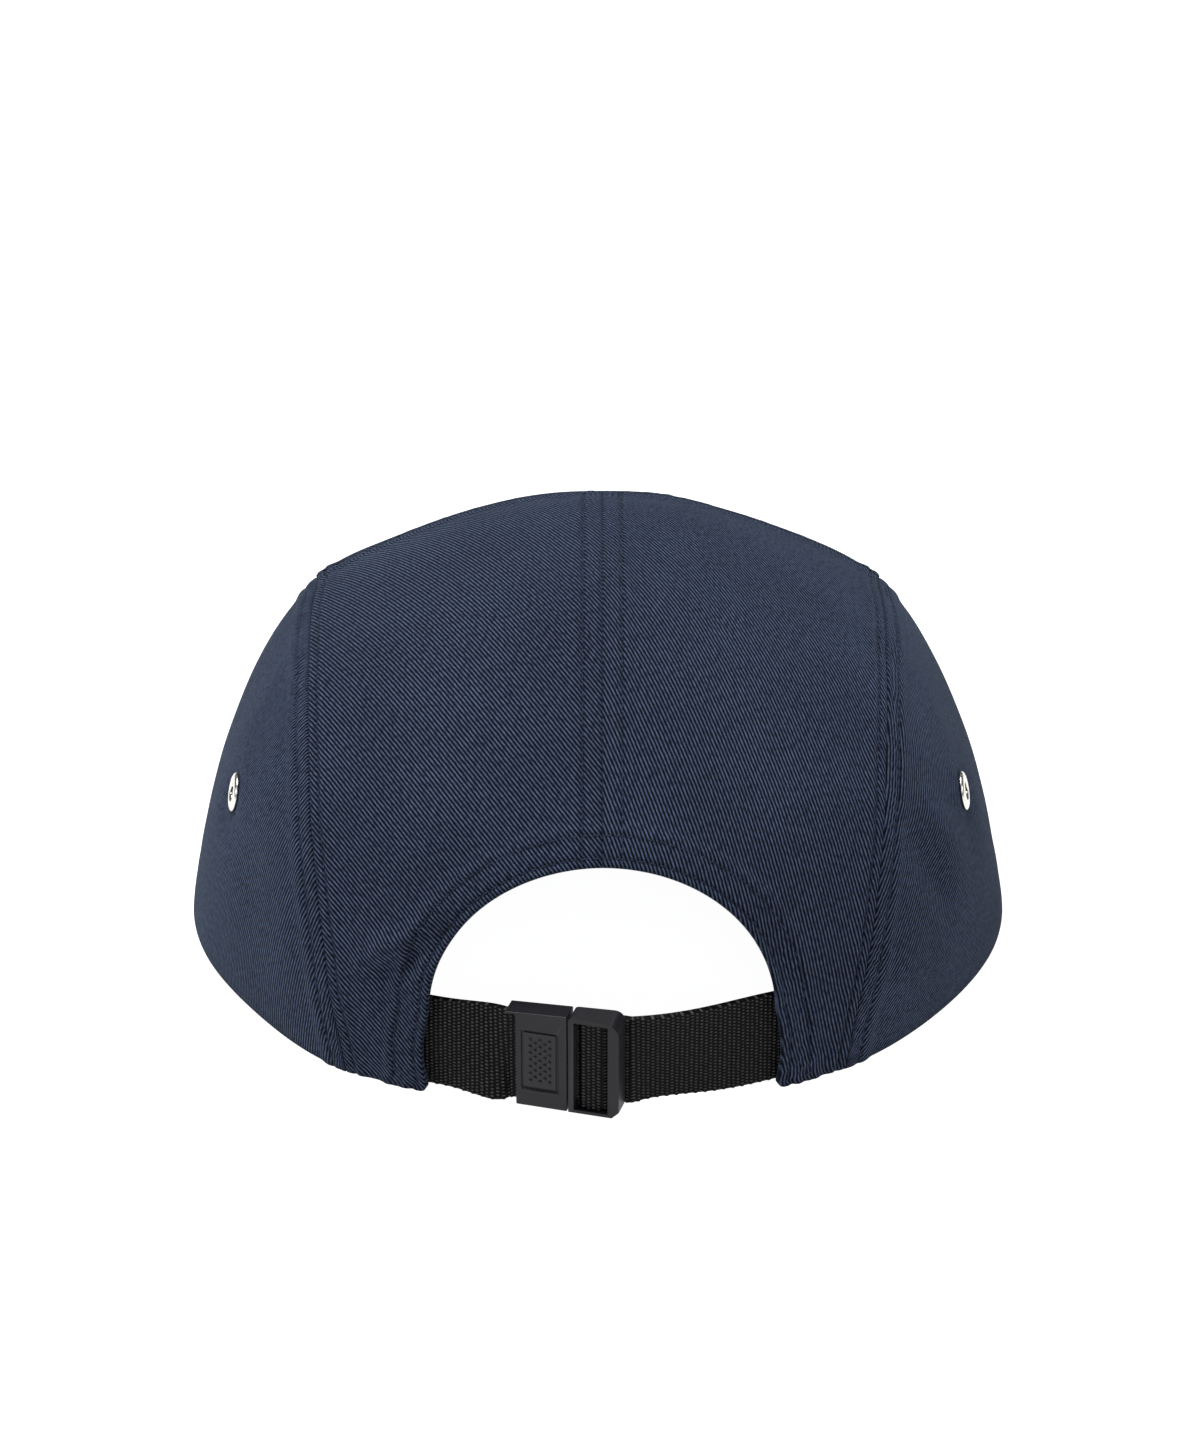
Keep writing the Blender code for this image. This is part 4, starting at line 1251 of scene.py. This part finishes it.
# %% The straps' routes
def strap_route(sway, end_line, end_heading, heights, count):
    """Middle face of one strap from inside its leg to the buckle, a row of heights at each place."""
    side = sway.side
    leg_x = CENTRE_SHIFT + side * ARCH_HALF
    depth = CLOTH + CLEARANCE + STRAP_THICKNESS / 2
    inside = []
    for x in leg_x + side * np.linspace(STRAP_TUCK, 0, count // 3):
        wall = back_points(0 * heights + x, STRAP_RIM_HEIGHT + heights)
        inside.append(wall - crown_normals(wall) * depth)
    start = inside[-1]
    heading = unit(start - inside[-2])
    length = np.linalg.norm(end_line - start, axis=1)[:, None]
    outward = np.interp(heights, (0, STRAP_WIDTH), (sway.lower, sway.upper))
    shift = STRAP_WIDTH * np.stack([0 * outward, -outward, 0 * outward - sway.dip], axis=1)
    fullest = SWAY_PLACE**3 * (1 - SWAY_PLACE)
    free = []
    for t in np.linspace(0, 1, count)[1:]:
        line = curve(t, start, heading * length, end_line, end_heading * length)
        free.append(line + shift * t**3 * (1 - t) / fullest)
    return inside + free


def left_route(heights):
    """From the left leg into the socket's pocket."""
    heading = np.array(buckle_place().to_3x3() @ Vector((1, 0, 0)))
    route = strap_route(SWAYS[LEFT], buckle_line(-SOCKET_LENGTH, 0.0, heights), heading, heights, 24)
    for x in np.linspace(0, SOCKET_POCKET - CLEARANCE, 6)[1:]:
        route.append(buckle_line(x - SOCKET_LENGTH, 0.0, heights))
    begin, lowest, end = len(route) - 14, len(route) - 6, len(route) - 1
    sunk = np.interp(np.arange(len(route)), (begin, lowest, end), (0, 1, 0))
    low = sunk[:, None] * (1 - heights / STRAP_WIDTH) * STRAP_SINK
    return np.array(route) - low[..., None] * np.array([0, 0, 1.0])


def right_route(heights):
    """From the right leg behind the plug's end bar, forward and round its cross bar."""
    along_buckle = np.array(buckle_place().to_3x3() @ Vector((-1, 0, 0)))
    gap = STRAP_THICKNESS + 2 * CLEARANCE
    window_left, window_right = PLUG_JOINT_BAR, PLUG_LENGTH - PLUG_END_BAR
    right_gap, left_gap = window_right - gap / 2, window_left + gap / 2
    behind = BUCKLE_THICKNESS / 2 + CLEARANCE + STRAP_THICKNESS / 2
    front = -CLEARANCE - STRAP_THICKNESS / 2
    bend = STRAP_THICKNESS / 2 + CLEARANCE

    def arc(middle_x, middle_y, first, last, count):
        angles = np.radians(np.linspace(first, last, count))
        return [(middle_x + bend * math.cos(a), middle_y + bend * math.sin(a)) for a in angles]

    places = [
        *arc(window_right, behind - bend, 90, 160, 6),
        *arc(right_gap - bend, front + bend, 0, -90, 7),
        *arc(left_gap + bend, front + bend, 270, 180, 7),
        (left_gap, behind),
    ]
    end_line = buckle_line(PLUG_LENGTH + gap / 2, behind, heights)
    leg = back_points(CENTRE_SHIFT + ARCH_HALF, STRAP_WIDTH / 2)
    to_leg = end_line[0, :2] - leg[0, :2]
    heading = unit(along_buckle + np.array([*unit(to_leg), 0.0]))
    route = strap_route(SWAYS[RIGHT], end_line, heading, heights, 30)
    return np.array(route + [buckle_line(x, y, heights) for x, y in places])


# %% Webbing
COLUMN_PITCH = 1.05 * MM
BEAD_PITCH = 0.75 * MM
BEAD_HEIGHT = 0.42 * MM
BEAD_SINK = 0.6
BEAD_POWER = 1.6
ALONG_STEP, ACROSS_STEP = 0.2 * MM, 0.15 * MM


def beads(along, across):
    """Height of the webbing's face: beads in columns, each column half a bead off the next."""
    column = np.floor(along / COLUMN_PITCH + 0.5)
    over = np.abs(np.cos(math.pi * along / COLUMN_PITCH)) ** BEAD_POWER
    slip = 0.5 * (column % 2) + 0.12 * np.sin(1.7 * column)
    up = np.abs(np.cos(math.pi * (across / BEAD_PITCH + slip))) ** BEAD_POWER
    uneven = 0.85 + 0.15 * np.sin(2.3 * column + 5.1 * np.floor(across / BEAD_PITCH + slip + 0.5))
    return BEAD_HEIGHT * (over * up * uneven - BEAD_SINK)


def add_webbing(node, route_of):
    """One strap as a closed tube of webbing round its middle face."""
    face = np.arange(0, 1 + 1e-9, ACROSS_STEP / STRAP_WIDTH)
    back = np.linspace(1, 0, 34)
    rounding = np.radians(np.linspace(90, -90, 6)[1:-1])
    edge_drop = 0.35 * STRAP_THICKNESS / STRAP_WIDTH
    lower = edge_drop * (1 - np.cos(rounding))
    share = np.concatenate([face, 1 - lower, back, lower, face[:1]])
    out = np.concatenate([0 * face + 1, np.sin(rounding), 0 * back - 1, -np.sin(rounding), [1.0]])
    heights = np.clip(share, 0, 1) * STRAP_WIDTH
    route = route_of(heights)
    lengths = lengths_to(route[:, len(face) // 2])
    places = np.arange(0, lengths[-1], ALONG_STEP)
    lines = route.transpose(1, 0, 2)
    middle = np.stack([[np.interp(places, lengths, axis) for axis in line.T] for line in lines])
    middle = middle.transpose(2, 0, 1)
    tangent = unit(np.gradient(middle, axis=0))
    up = unit(middle[:, len(face) - 1] - middle[:, 0])
    normal = unit(np.cross(tangent, up[:, None, :]))
    if node == "strap_right":
        normal = -normal
    raised = beads(places[:, None] + 0 * heights[None], heights[None] + 0 * places[:, None])
    level = out[None] * STRAP_THICKNESS / 2 + np.clip(out[None], 0, 1) * raised
    skin = middle + normal * level[..., None]
    skin[..., 2] = np.maximum(skin[..., 2], 0.1 * MM)
    mesh = grid_of(skin + ORIGIN)
    flat = mesh.loops.layers.uv.new("flat")
    mesh.verts.ensure_lookup_table()
    mesh.verts.index_update()
    for one in mesh.faces:
        for corner in one.loops:
            row, column = divmod(corner.vert.index, len(heights))
            corner[flat].uv = (places[row], heights[column])
    bmesh.ops.remove_doubles(mesh, verts=mesh.verts, dist=1e-7)
    bmesh.ops.holes_fill(mesh, edges=mesh.edges, sides=0)
    bmesh.ops.recalc_face_normals(mesh, faces=mesh.faces)
    piece = as_object("webbing_" + node, mesh)
    data = piece.data
    data.shade_smooth()
    corners = np.array([corner.uv for corner in data.uv_layers["flat"].data])
    height = beads(*corners.T) / BEAD_HEIGHT + BEAD_SINK
    data.attributes.new("lift", "FLOAT", "CORNER").data.foreach_set("value", height)
    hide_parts(node)
    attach(piece, "root")
    print(node, "length, mm:", round(1000 * lengths[-1], 1), "faces:", len(data.polygons))
    return piece


straps = [add_webbing("strap_left", left_route), add_webbing("strap_right", right_route)]

# %% [markdown]
# The webbing is woven from nylon filament yarn, dyed black. Its filaments are smooth and a little glossy,
# and each bead's top is also painted lighter, as a painted highlight, while the grooves are painted nearly
# black, as painted shade.

# %% Nylon webbing
webbing_finish, tree = new_material("nylon webbing, woven from black filament yarn")
flat = add_node(tree, "UVMap", uv_map="flat").outputs["UV"]
fibre_size = (1 / (0.9 * MM), 1 / (0.09 * MM), 1.0)
drawn_out = add_node(tree, "Mapping", {"Vector": flat, "Scale": fibre_size})
fibres = noise(tree, drawn_out.outputs["Vector"], 1.0, 2.0)
# The beads' height lightens their tops as a painted highlight and darkens the grooves as painted shade
lift = remap(tree, add_node(tree, "Attribute", attribute_name="lift").outputs["Fac"], 0.2, 1.0)
lit = combine(tree, "MULTIPLY_ADD", fibres, 0.5, lift)
shade(
    tree,
    {
        "Base Color": ramp(tree, lit, (0.35, "#030304"), (0.8, "#3c3d3c")),
        "Roughness": 0.5,
        "Specular IOR Level": 0.08,
        "Normal": bumped(tree, fibres, 0.05 * MM, 0.5),
    },
)
for strap in straps:
    strap.data.materials.append(webbing_finish)

# %% [markdown]
# ## Eyelets
# Each side has one two-part eyelet of nickel-plated brass, pressed through the cloth. Its outer flange is
# domed, rolls over into the barrel, and the barrel is turned out over a washer inside. The profile of one
# side is spun round the eyelet's axis.

# %% Eyelet
EYELET_RADIUS = 4.25 * MM
HOLE_SHARE = 0.45
BARREL_TOP = 0.09
# radius and height of each point of the profile, as shares of the flange's radius, from its outer edge
# over the dome, down the barrel, out over the washer and back up outside the barrel
Ring = namedtuple("Ring", "radius height")
EYELET_PROFILE = (
    Ring(0.985, 0.010),
    Ring(1.000, 0.045),
    Ring(0.985, 0.090),
    Ring(0.930, 0.140),
    Ring(0.830, 0.186),
    Ring(0.700, 0.212),
    Ring(0.570, 0.200),
    Ring(0.470, 0.140),
    Ring(0.415, 0.040),
    Ring(0.395, -0.080),
    Ring(0.395, -0.300),
    Ring(0.410, -0.455),
    Ring(0.500, -0.520),
    Ring(0.580, -0.550),
    Ring(0.680, -0.535),
    Ring(0.740, -0.505),
    Ring(0.930, -0.490),
    Ring(0.940, -0.450),
    Ring(0.640, -0.440),
    Ring(0.630, 0.010),
)


def add_eyelet(eyelet):
    """One eyelet, set square to the cloth."""
    centre, _, facing = EYELET_AXES[eyelet.node]
    mesh = bmesh.new()
    ring = [mesh.verts.new((EYELET_RADIUS * r.radius, 0, EYELET_RADIUS * r.height)) for r in EYELET_PROFILE]
    edges = [mesh.edges.new((ring[i - 1], ring[i])) for i in range(len(ring))]
    turning = {"cent": (0, 0, 0), "axis": (0, 0, 1), "angle": math.tau, "steps": 56, "use_merge": True}
    bmesh.ops.spin(mesh, geom=ring + edges, **turning)
    bmesh.ops.remove_doubles(mesh, verts=mesh.verts, dist=1e-7)
    turn = Vector(facing).to_track_quat("Z", "Y").to_matrix().to_4x4()
    place = Matrix.Translation(Vector(centre + ORIGIN)) @ turn
    bmesh.ops.transform(mesh, matrix=place, verts=mesh.verts)
    bmesh.ops.recalc_face_normals(mesh, faces=mesh.faces)
    piece = as_object("turned_" + eyelet.name, mesh)
    data = piece.data
    data.shade_smooth()
    data.materials.append(nickel_finish)
    data.materials.append(barrel_finish)
    axis = place.to_3x3() @ Vector((0, 0, 1))
    # Faces inside the hole take the barrel finish, which is painted shade
    for face in data.polygons:
        offset = face.center - place.translation
        far = (offset - axis * offset.dot(axis)).length
        if far < HOLE_SHARE * EYELET_RADIUS and offset.dot(axis) < BARREL_TOP * EYELET_RADIUS:
            face.material_index = 1
    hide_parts(eyelet.name)
    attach(piece, "root")
    print(eyelet.name, "faces:", len(data.polygons))


# %% Nickel plate
# Bright nickel over pressed brass: a warm white metal, polished, with faint marks and small dents from
# the press, which break up its reflections.
nickel_finish, tree = new_material("bright nickel plate on pressed brass")
position = add_node(tree, "TexCoord").outputs["Object"]
marks = noise(tree, position, 1.6 * MM, 4.0)
shade(
    tree,
    {
        "Base Color": blend(tree, marks, linear("#cfccc6"), linear("#e2e0db")),
        "Metallic": 1.0,
        "Roughness": remap(tree, noise(tree, position, 0.12 * MM, 2.0), 0.0, 1.0, 0.16, 0.32),
        "Normal": bumped(tree, marks, 0.08 * MM, 0.25),
    },
)

# Inside the barrel the metal is painted dark brown, as painted shade in the hole.
barrel_finish, tree = new_material("brass barrel, painted dark as shade")
painted_shade_mottle = noise(tree, add_node(tree, "TexCoord").outputs["Object"], 0.7 * MM, 4.0)
shade(
    tree,
    {
        "Base Color": blend(tree, painted_shade_mottle, linear("#15110d"), linear("#3d342a")),
        "Metallic": 1.0,
        "Roughness": 0.5,
        "Normal": bumped(tree, painted_shade_mottle, 0.06 * MM, 0.5),
    },
)
for eyelet in EYELETS:
    add_eyelet(eyelet)

# %% [markdown]
# ## The buckle
# A small side-release clip, moulded in charcoal plastic: a socket with a dotted pad on its face, and a
# plug with a window that the webbing goes round. Each half starts as a box whose top slopes up a little.
# Cutting shapes take out the slots and the pad's recess, and then every edge is rounded a little, as a
# mould leaves it.

# %% Helpers for moulded parts
BUCKLE_HEIGHT = BUCKLE_LOWER_BAR + STRAP_SLOT + BUCKLE_UPPER_BAR
SLOT_MIDDLE = BUCKLE_LOWER_BAR + STRAP_SLOT / 2
EDGE_ROUNDING = 0.34 * MM


def block(low, high):
    """A box between two corners."""
    mesh = bmesh.new()
    bmesh.ops.create_cube(mesh, size=1.0)
    size = Vector(high) - Vector(low)
    bmesh.ops.scale(mesh, verts=mesh.verts, vec=size)
    bmesh.ops.translate(mesh, verts=mesh.verts, vec=(Vector(low) + Vector(high)) / 2)
    return mesh


def rounded(mesh, edges, width, segments):
    """The mesh, with some of its edges rounded."""
    shape = {"offset_type": "OFFSET", "affect": "EDGES", "profile": 0.5, "clamp_overlap": True}
    bmesh.ops.bevel(mesh, geom=edges, offset=width, segments=segments, material=-1, **shape)
    return mesh


def cut_out(body, cutters):
    """The body without the cutters' shapes, with its edges rounded, as a new bmesh."""
    for cutter in cutters:
        modifier = body.modifiers.new("cut", "BOOLEAN")
        modifier.operation = "DIFFERENCE"
        modifier.solver = "EXACT"
        modifier.object = cutter
    modifier = body.modifiers.new("rounding", "BEVEL")
    modifier.width = EDGE_ROUNDING
    modifier.segments = 3
    modifier.limit_method = "ANGLE"
    modifier.angle_limit = math.radians(35)
    modifier.use_clamp_overlap = True
    graph = bpy.context.evaluated_depsgraph_get()
    mesh = bmesh.new()
    mesh.from_object(body, graph)
    for item in (body, *cutters):
        bpy.data.objects.remove(item)
    return mesh


def moulded(node, mesh):
    """A moulded half, put in its place on the strap."""
    place = Matrix.Translation(Vector(ORIGIN)) @ buckle_place()
    bmesh.ops.transform(mesh, matrix=place, verts=mesh.verts)
    bmesh.ops.recalc_face_normals(mesh, faces=mesh.faces)
    piece = as_object("moulded_" + node, mesh)
    piece.data.shade_smooth()
    piece.data.set_sharp_from_angle(angle=math.radians(38))
    piece.data.materials.append(plastic_finish)
    weighted = piece.modifiers.new("weighted", "WEIGHTED_NORMAL")
    weighted.keep_sharp = True
    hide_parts(node)
    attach(piece, "root")
    print(node, "faces:", len(piece.data.polygons))


def sloped_top(mesh):
    """Raises the top towards the plug's end, and lowers its front edge there."""
    for vertex in mesh.verts:
        if vertex.co.z > SLOT_MIDDLE:
            share = (vertex.co.x + SOCKET_LENGTH) / (SOCKET_LENGTH + PLUG_LENGTH)
            vertex.co.z += BUCKLE_TAPER * share
            if vertex.co.y < 0:
                vertex.co.z -= FRONT_DROP * max(vertex.co.x, 0) / PLUG_LENGTH
    return mesh


# %% Charcoal plastic
# Acetal, moulded in charcoal grey against a fine spark-eroded tool: an even satin with a tiny grain,
# and a painted highlight that lightens its sharp edges.
plastic_finish, tree = new_material("acetal, moulded charcoal")
position = add_node(tree, "TexCoord").outputs["Object"]
grain = noise(tree, position, 0.22 * MM, 3.0)
# Painted highlight: sharp edges, where pointiness is high, are made lighter
painted_edge_highlight = remap(tree, add_node(tree, "NewGeometry").outputs["Pointiness"], 0.52, 0.62)
base = blend(tree, noise(tree, position, 5 * MM, 3.0), linear("#08080c"), linear("#0c0c11"))
shade(
    tree,
    {
        "Base Color": blend(tree, painted_edge_highlight, base, linear("#222228")),
        "Roughness": remap(tree, grain, 0.0, 1.0, 0.34, 0.5),
        "Specular IOR Level": 0.28,
        "Normal": bumped(tree, grain, 0.02 * MM, 0.5),
    },
)

# %% Socket
FRONT = -BUCKLE_THICKNESS / 2
BACK = BUCKLE_THICKNESS / 2
HALF_GAP = CLEARANCE / 2
FRONT_DROP = 1.3 * MM
GROOVE = 0.50 * MM
PAD_RISE = 0.30 * MM
LIP = 0.25 * MM
DOT_RADIUS = 0.38 * MM
DOT_COLUMNS, DOT_ROWS = 5, 7
DOT_ACROSS, DOT_UP = 1.04 * MM, 1.62 * MM

strap_gap = STRAP_THICKNESS + 2 * CLEARANCE


def edges_along_y(mesh):
    """The edges that run through the buckle, from front to back."""
    return [one for one in mesh.edges if abs(one.verts[0].co.y - one.verts[1].co.y) > 1e-6]


body = sloped_top(block((-SOCKET_LENGTH, FRONT, 0), (-HALF_GAP, BACK, BUCKLE_HEIGHT)))
far = 10 * MM
pad_right = -PAD_MARGIN
pad_left = pad_right - PAD_WIDTH
pad_low, pad_high = SLOT_MIDDLE - PAD_HEIGHT / 2, SLOT_MIDDLE + PAD_HEIGHT / 2
slot_low, slot_high = SLOT_MIDDLE - STRAP_SLOT / 2, SLOT_MIDDLE + STRAP_SLOT / 2
recess = block((pad_left, FRONT - MM, pad_low), (pad_right, FRONT + PAD_DEPTH, pad_high))
recess = rounded(recess, edges_along_y(recess), 0.5 * MM, 3)
pocket_end, mouth_end = SOCKET_POCKET - SOCKET_LENGTH, SOCKET_MOUTH - SOCKET_LENGTH
left_far, half_gap = -SOCKET_LENGTH - far, strap_gap / 2
cutters = [
    as_object("pocket", block((left_far, -half_gap, slot_low), (pocket_end, half_gap, slot_high))),
    as_object("mouth", block((left_far, FRONT - far, -far), (mouth_end, 0, slot_high))),
    as_object("recess", recess),
]
socket = cut_out(as_object("socket", body), cutters)
pad_face = FRONT + PAD_DEPTH - PAD_RISE
pad = block(
    (pad_left + GROOVE, pad_face, pad_low + GROOVE),
    (pad_right - GROOVE, FRONT + PAD_DEPTH + 0.1 * MM, pad_high - GROOVE),
)
pad = rounded(pad, pad.edges[:], 0.14 * MM, 2)
# A thin raised lip under the pad, which catches the light
lip = block((pad_left, FRONT - LIP, pad_low - 2 * LIP), (pad_right, FRONT + LIP, pad_low - LIP / 4))
lip = rounded(lip, lip.edges[:], LIP / 2, 3)
for name, part in (("pad", pad), ("lip", lip)):
    part_mesh = bpy.data.meshes.new(name)
    part.to_mesh(part_mesh)
    part.free()
    socket.from_mesh(part_mesh)
for column in range(DOT_COLUMNS):
    for row in range(DOT_ROWS - column % 2):
        x = (pad_left + pad_right) / 2 + (column - (DOT_COLUMNS - 1) / 2) * DOT_ACROSS
        z = SLOT_MIDDLE + (row - (DOT_ROWS - 1) / 2 + 0.5 * (column % 2)) * DOT_UP
        spot = Matrix.Translation((x, pad_face + 0.02 * MM, z)) @ Matrix.Diagonal((1, 1.3, 1, 1))
        bmesh.ops.create_icosphere(socket, subdivisions=2, radius=DOT_RADIUS, matrix=spot)
moulded("buckle_socket", socket)

# %% Plug
TOP_CORNER = 2.2 * MM
FOOT_CORNER = 1.5 * MM
JOINT_NOTCH = 0.8 * MM
WINDOW_CORNER = 0.6 * MM


def edges_at(mesh, x, upper):
    """The edges along Y at a place along the buckle, of the upper or the lower half."""

    def is_there(vertex):
        return abs(vertex.co.x - x) < 1e-5 and (vertex.co.z > SLOT_MIDDLE) == upper

    return [one for one in edges_along_y(mesh) if is_there(one.verts[0]) and is_there(one.verts[1])]


window_left, window_right = PLUG_JOINT_BAR, PLUG_LENGTH - PLUG_END_BAR
body = sloped_top(block((HALF_GAP, FRONT, 0), (PLUG_LENGTH, BACK, BUCKLE_HEIGHT)))
body = rounded(body, edges_at(body, PLUG_LENGTH, True), TOP_CORNER, 6)
body = rounded(body, edges_at(body, PLUG_LENGTH, False), FOOT_CORNER, 1)
body = rounded(body, edges_at(body, HALF_GAP, True), JOINT_NOTCH, 2)
window = block((window_left, FRONT - far, slot_low), (window_right, 0, slot_high))
left_edges = edges_at(window, window_left, True) + edges_at(window, window_left, False)
window = rounded(window, left_edges, WINDOW_CORNER, 3)
window = rounded(window, edges_at(window, window_right, True), 2 * WINDOW_CORNER, 4)
cutters = [as_object("window", window)]
for name, left, front, right in (
    ("slot_left", window_left, -far, window_left + strap_gap),
    ("slot_right", window_right - strap_gap, -far, window_right),
    ("behind_bar", window_left, CROSS_BAR_THICKNESS, window_right),
):
    cutters.append(as_object(name, block((left, front, slot_low), (right, far, slot_high))))
plug = cut_out(as_object("plug", body), cutters)
moulded("buckle_plug", plug)
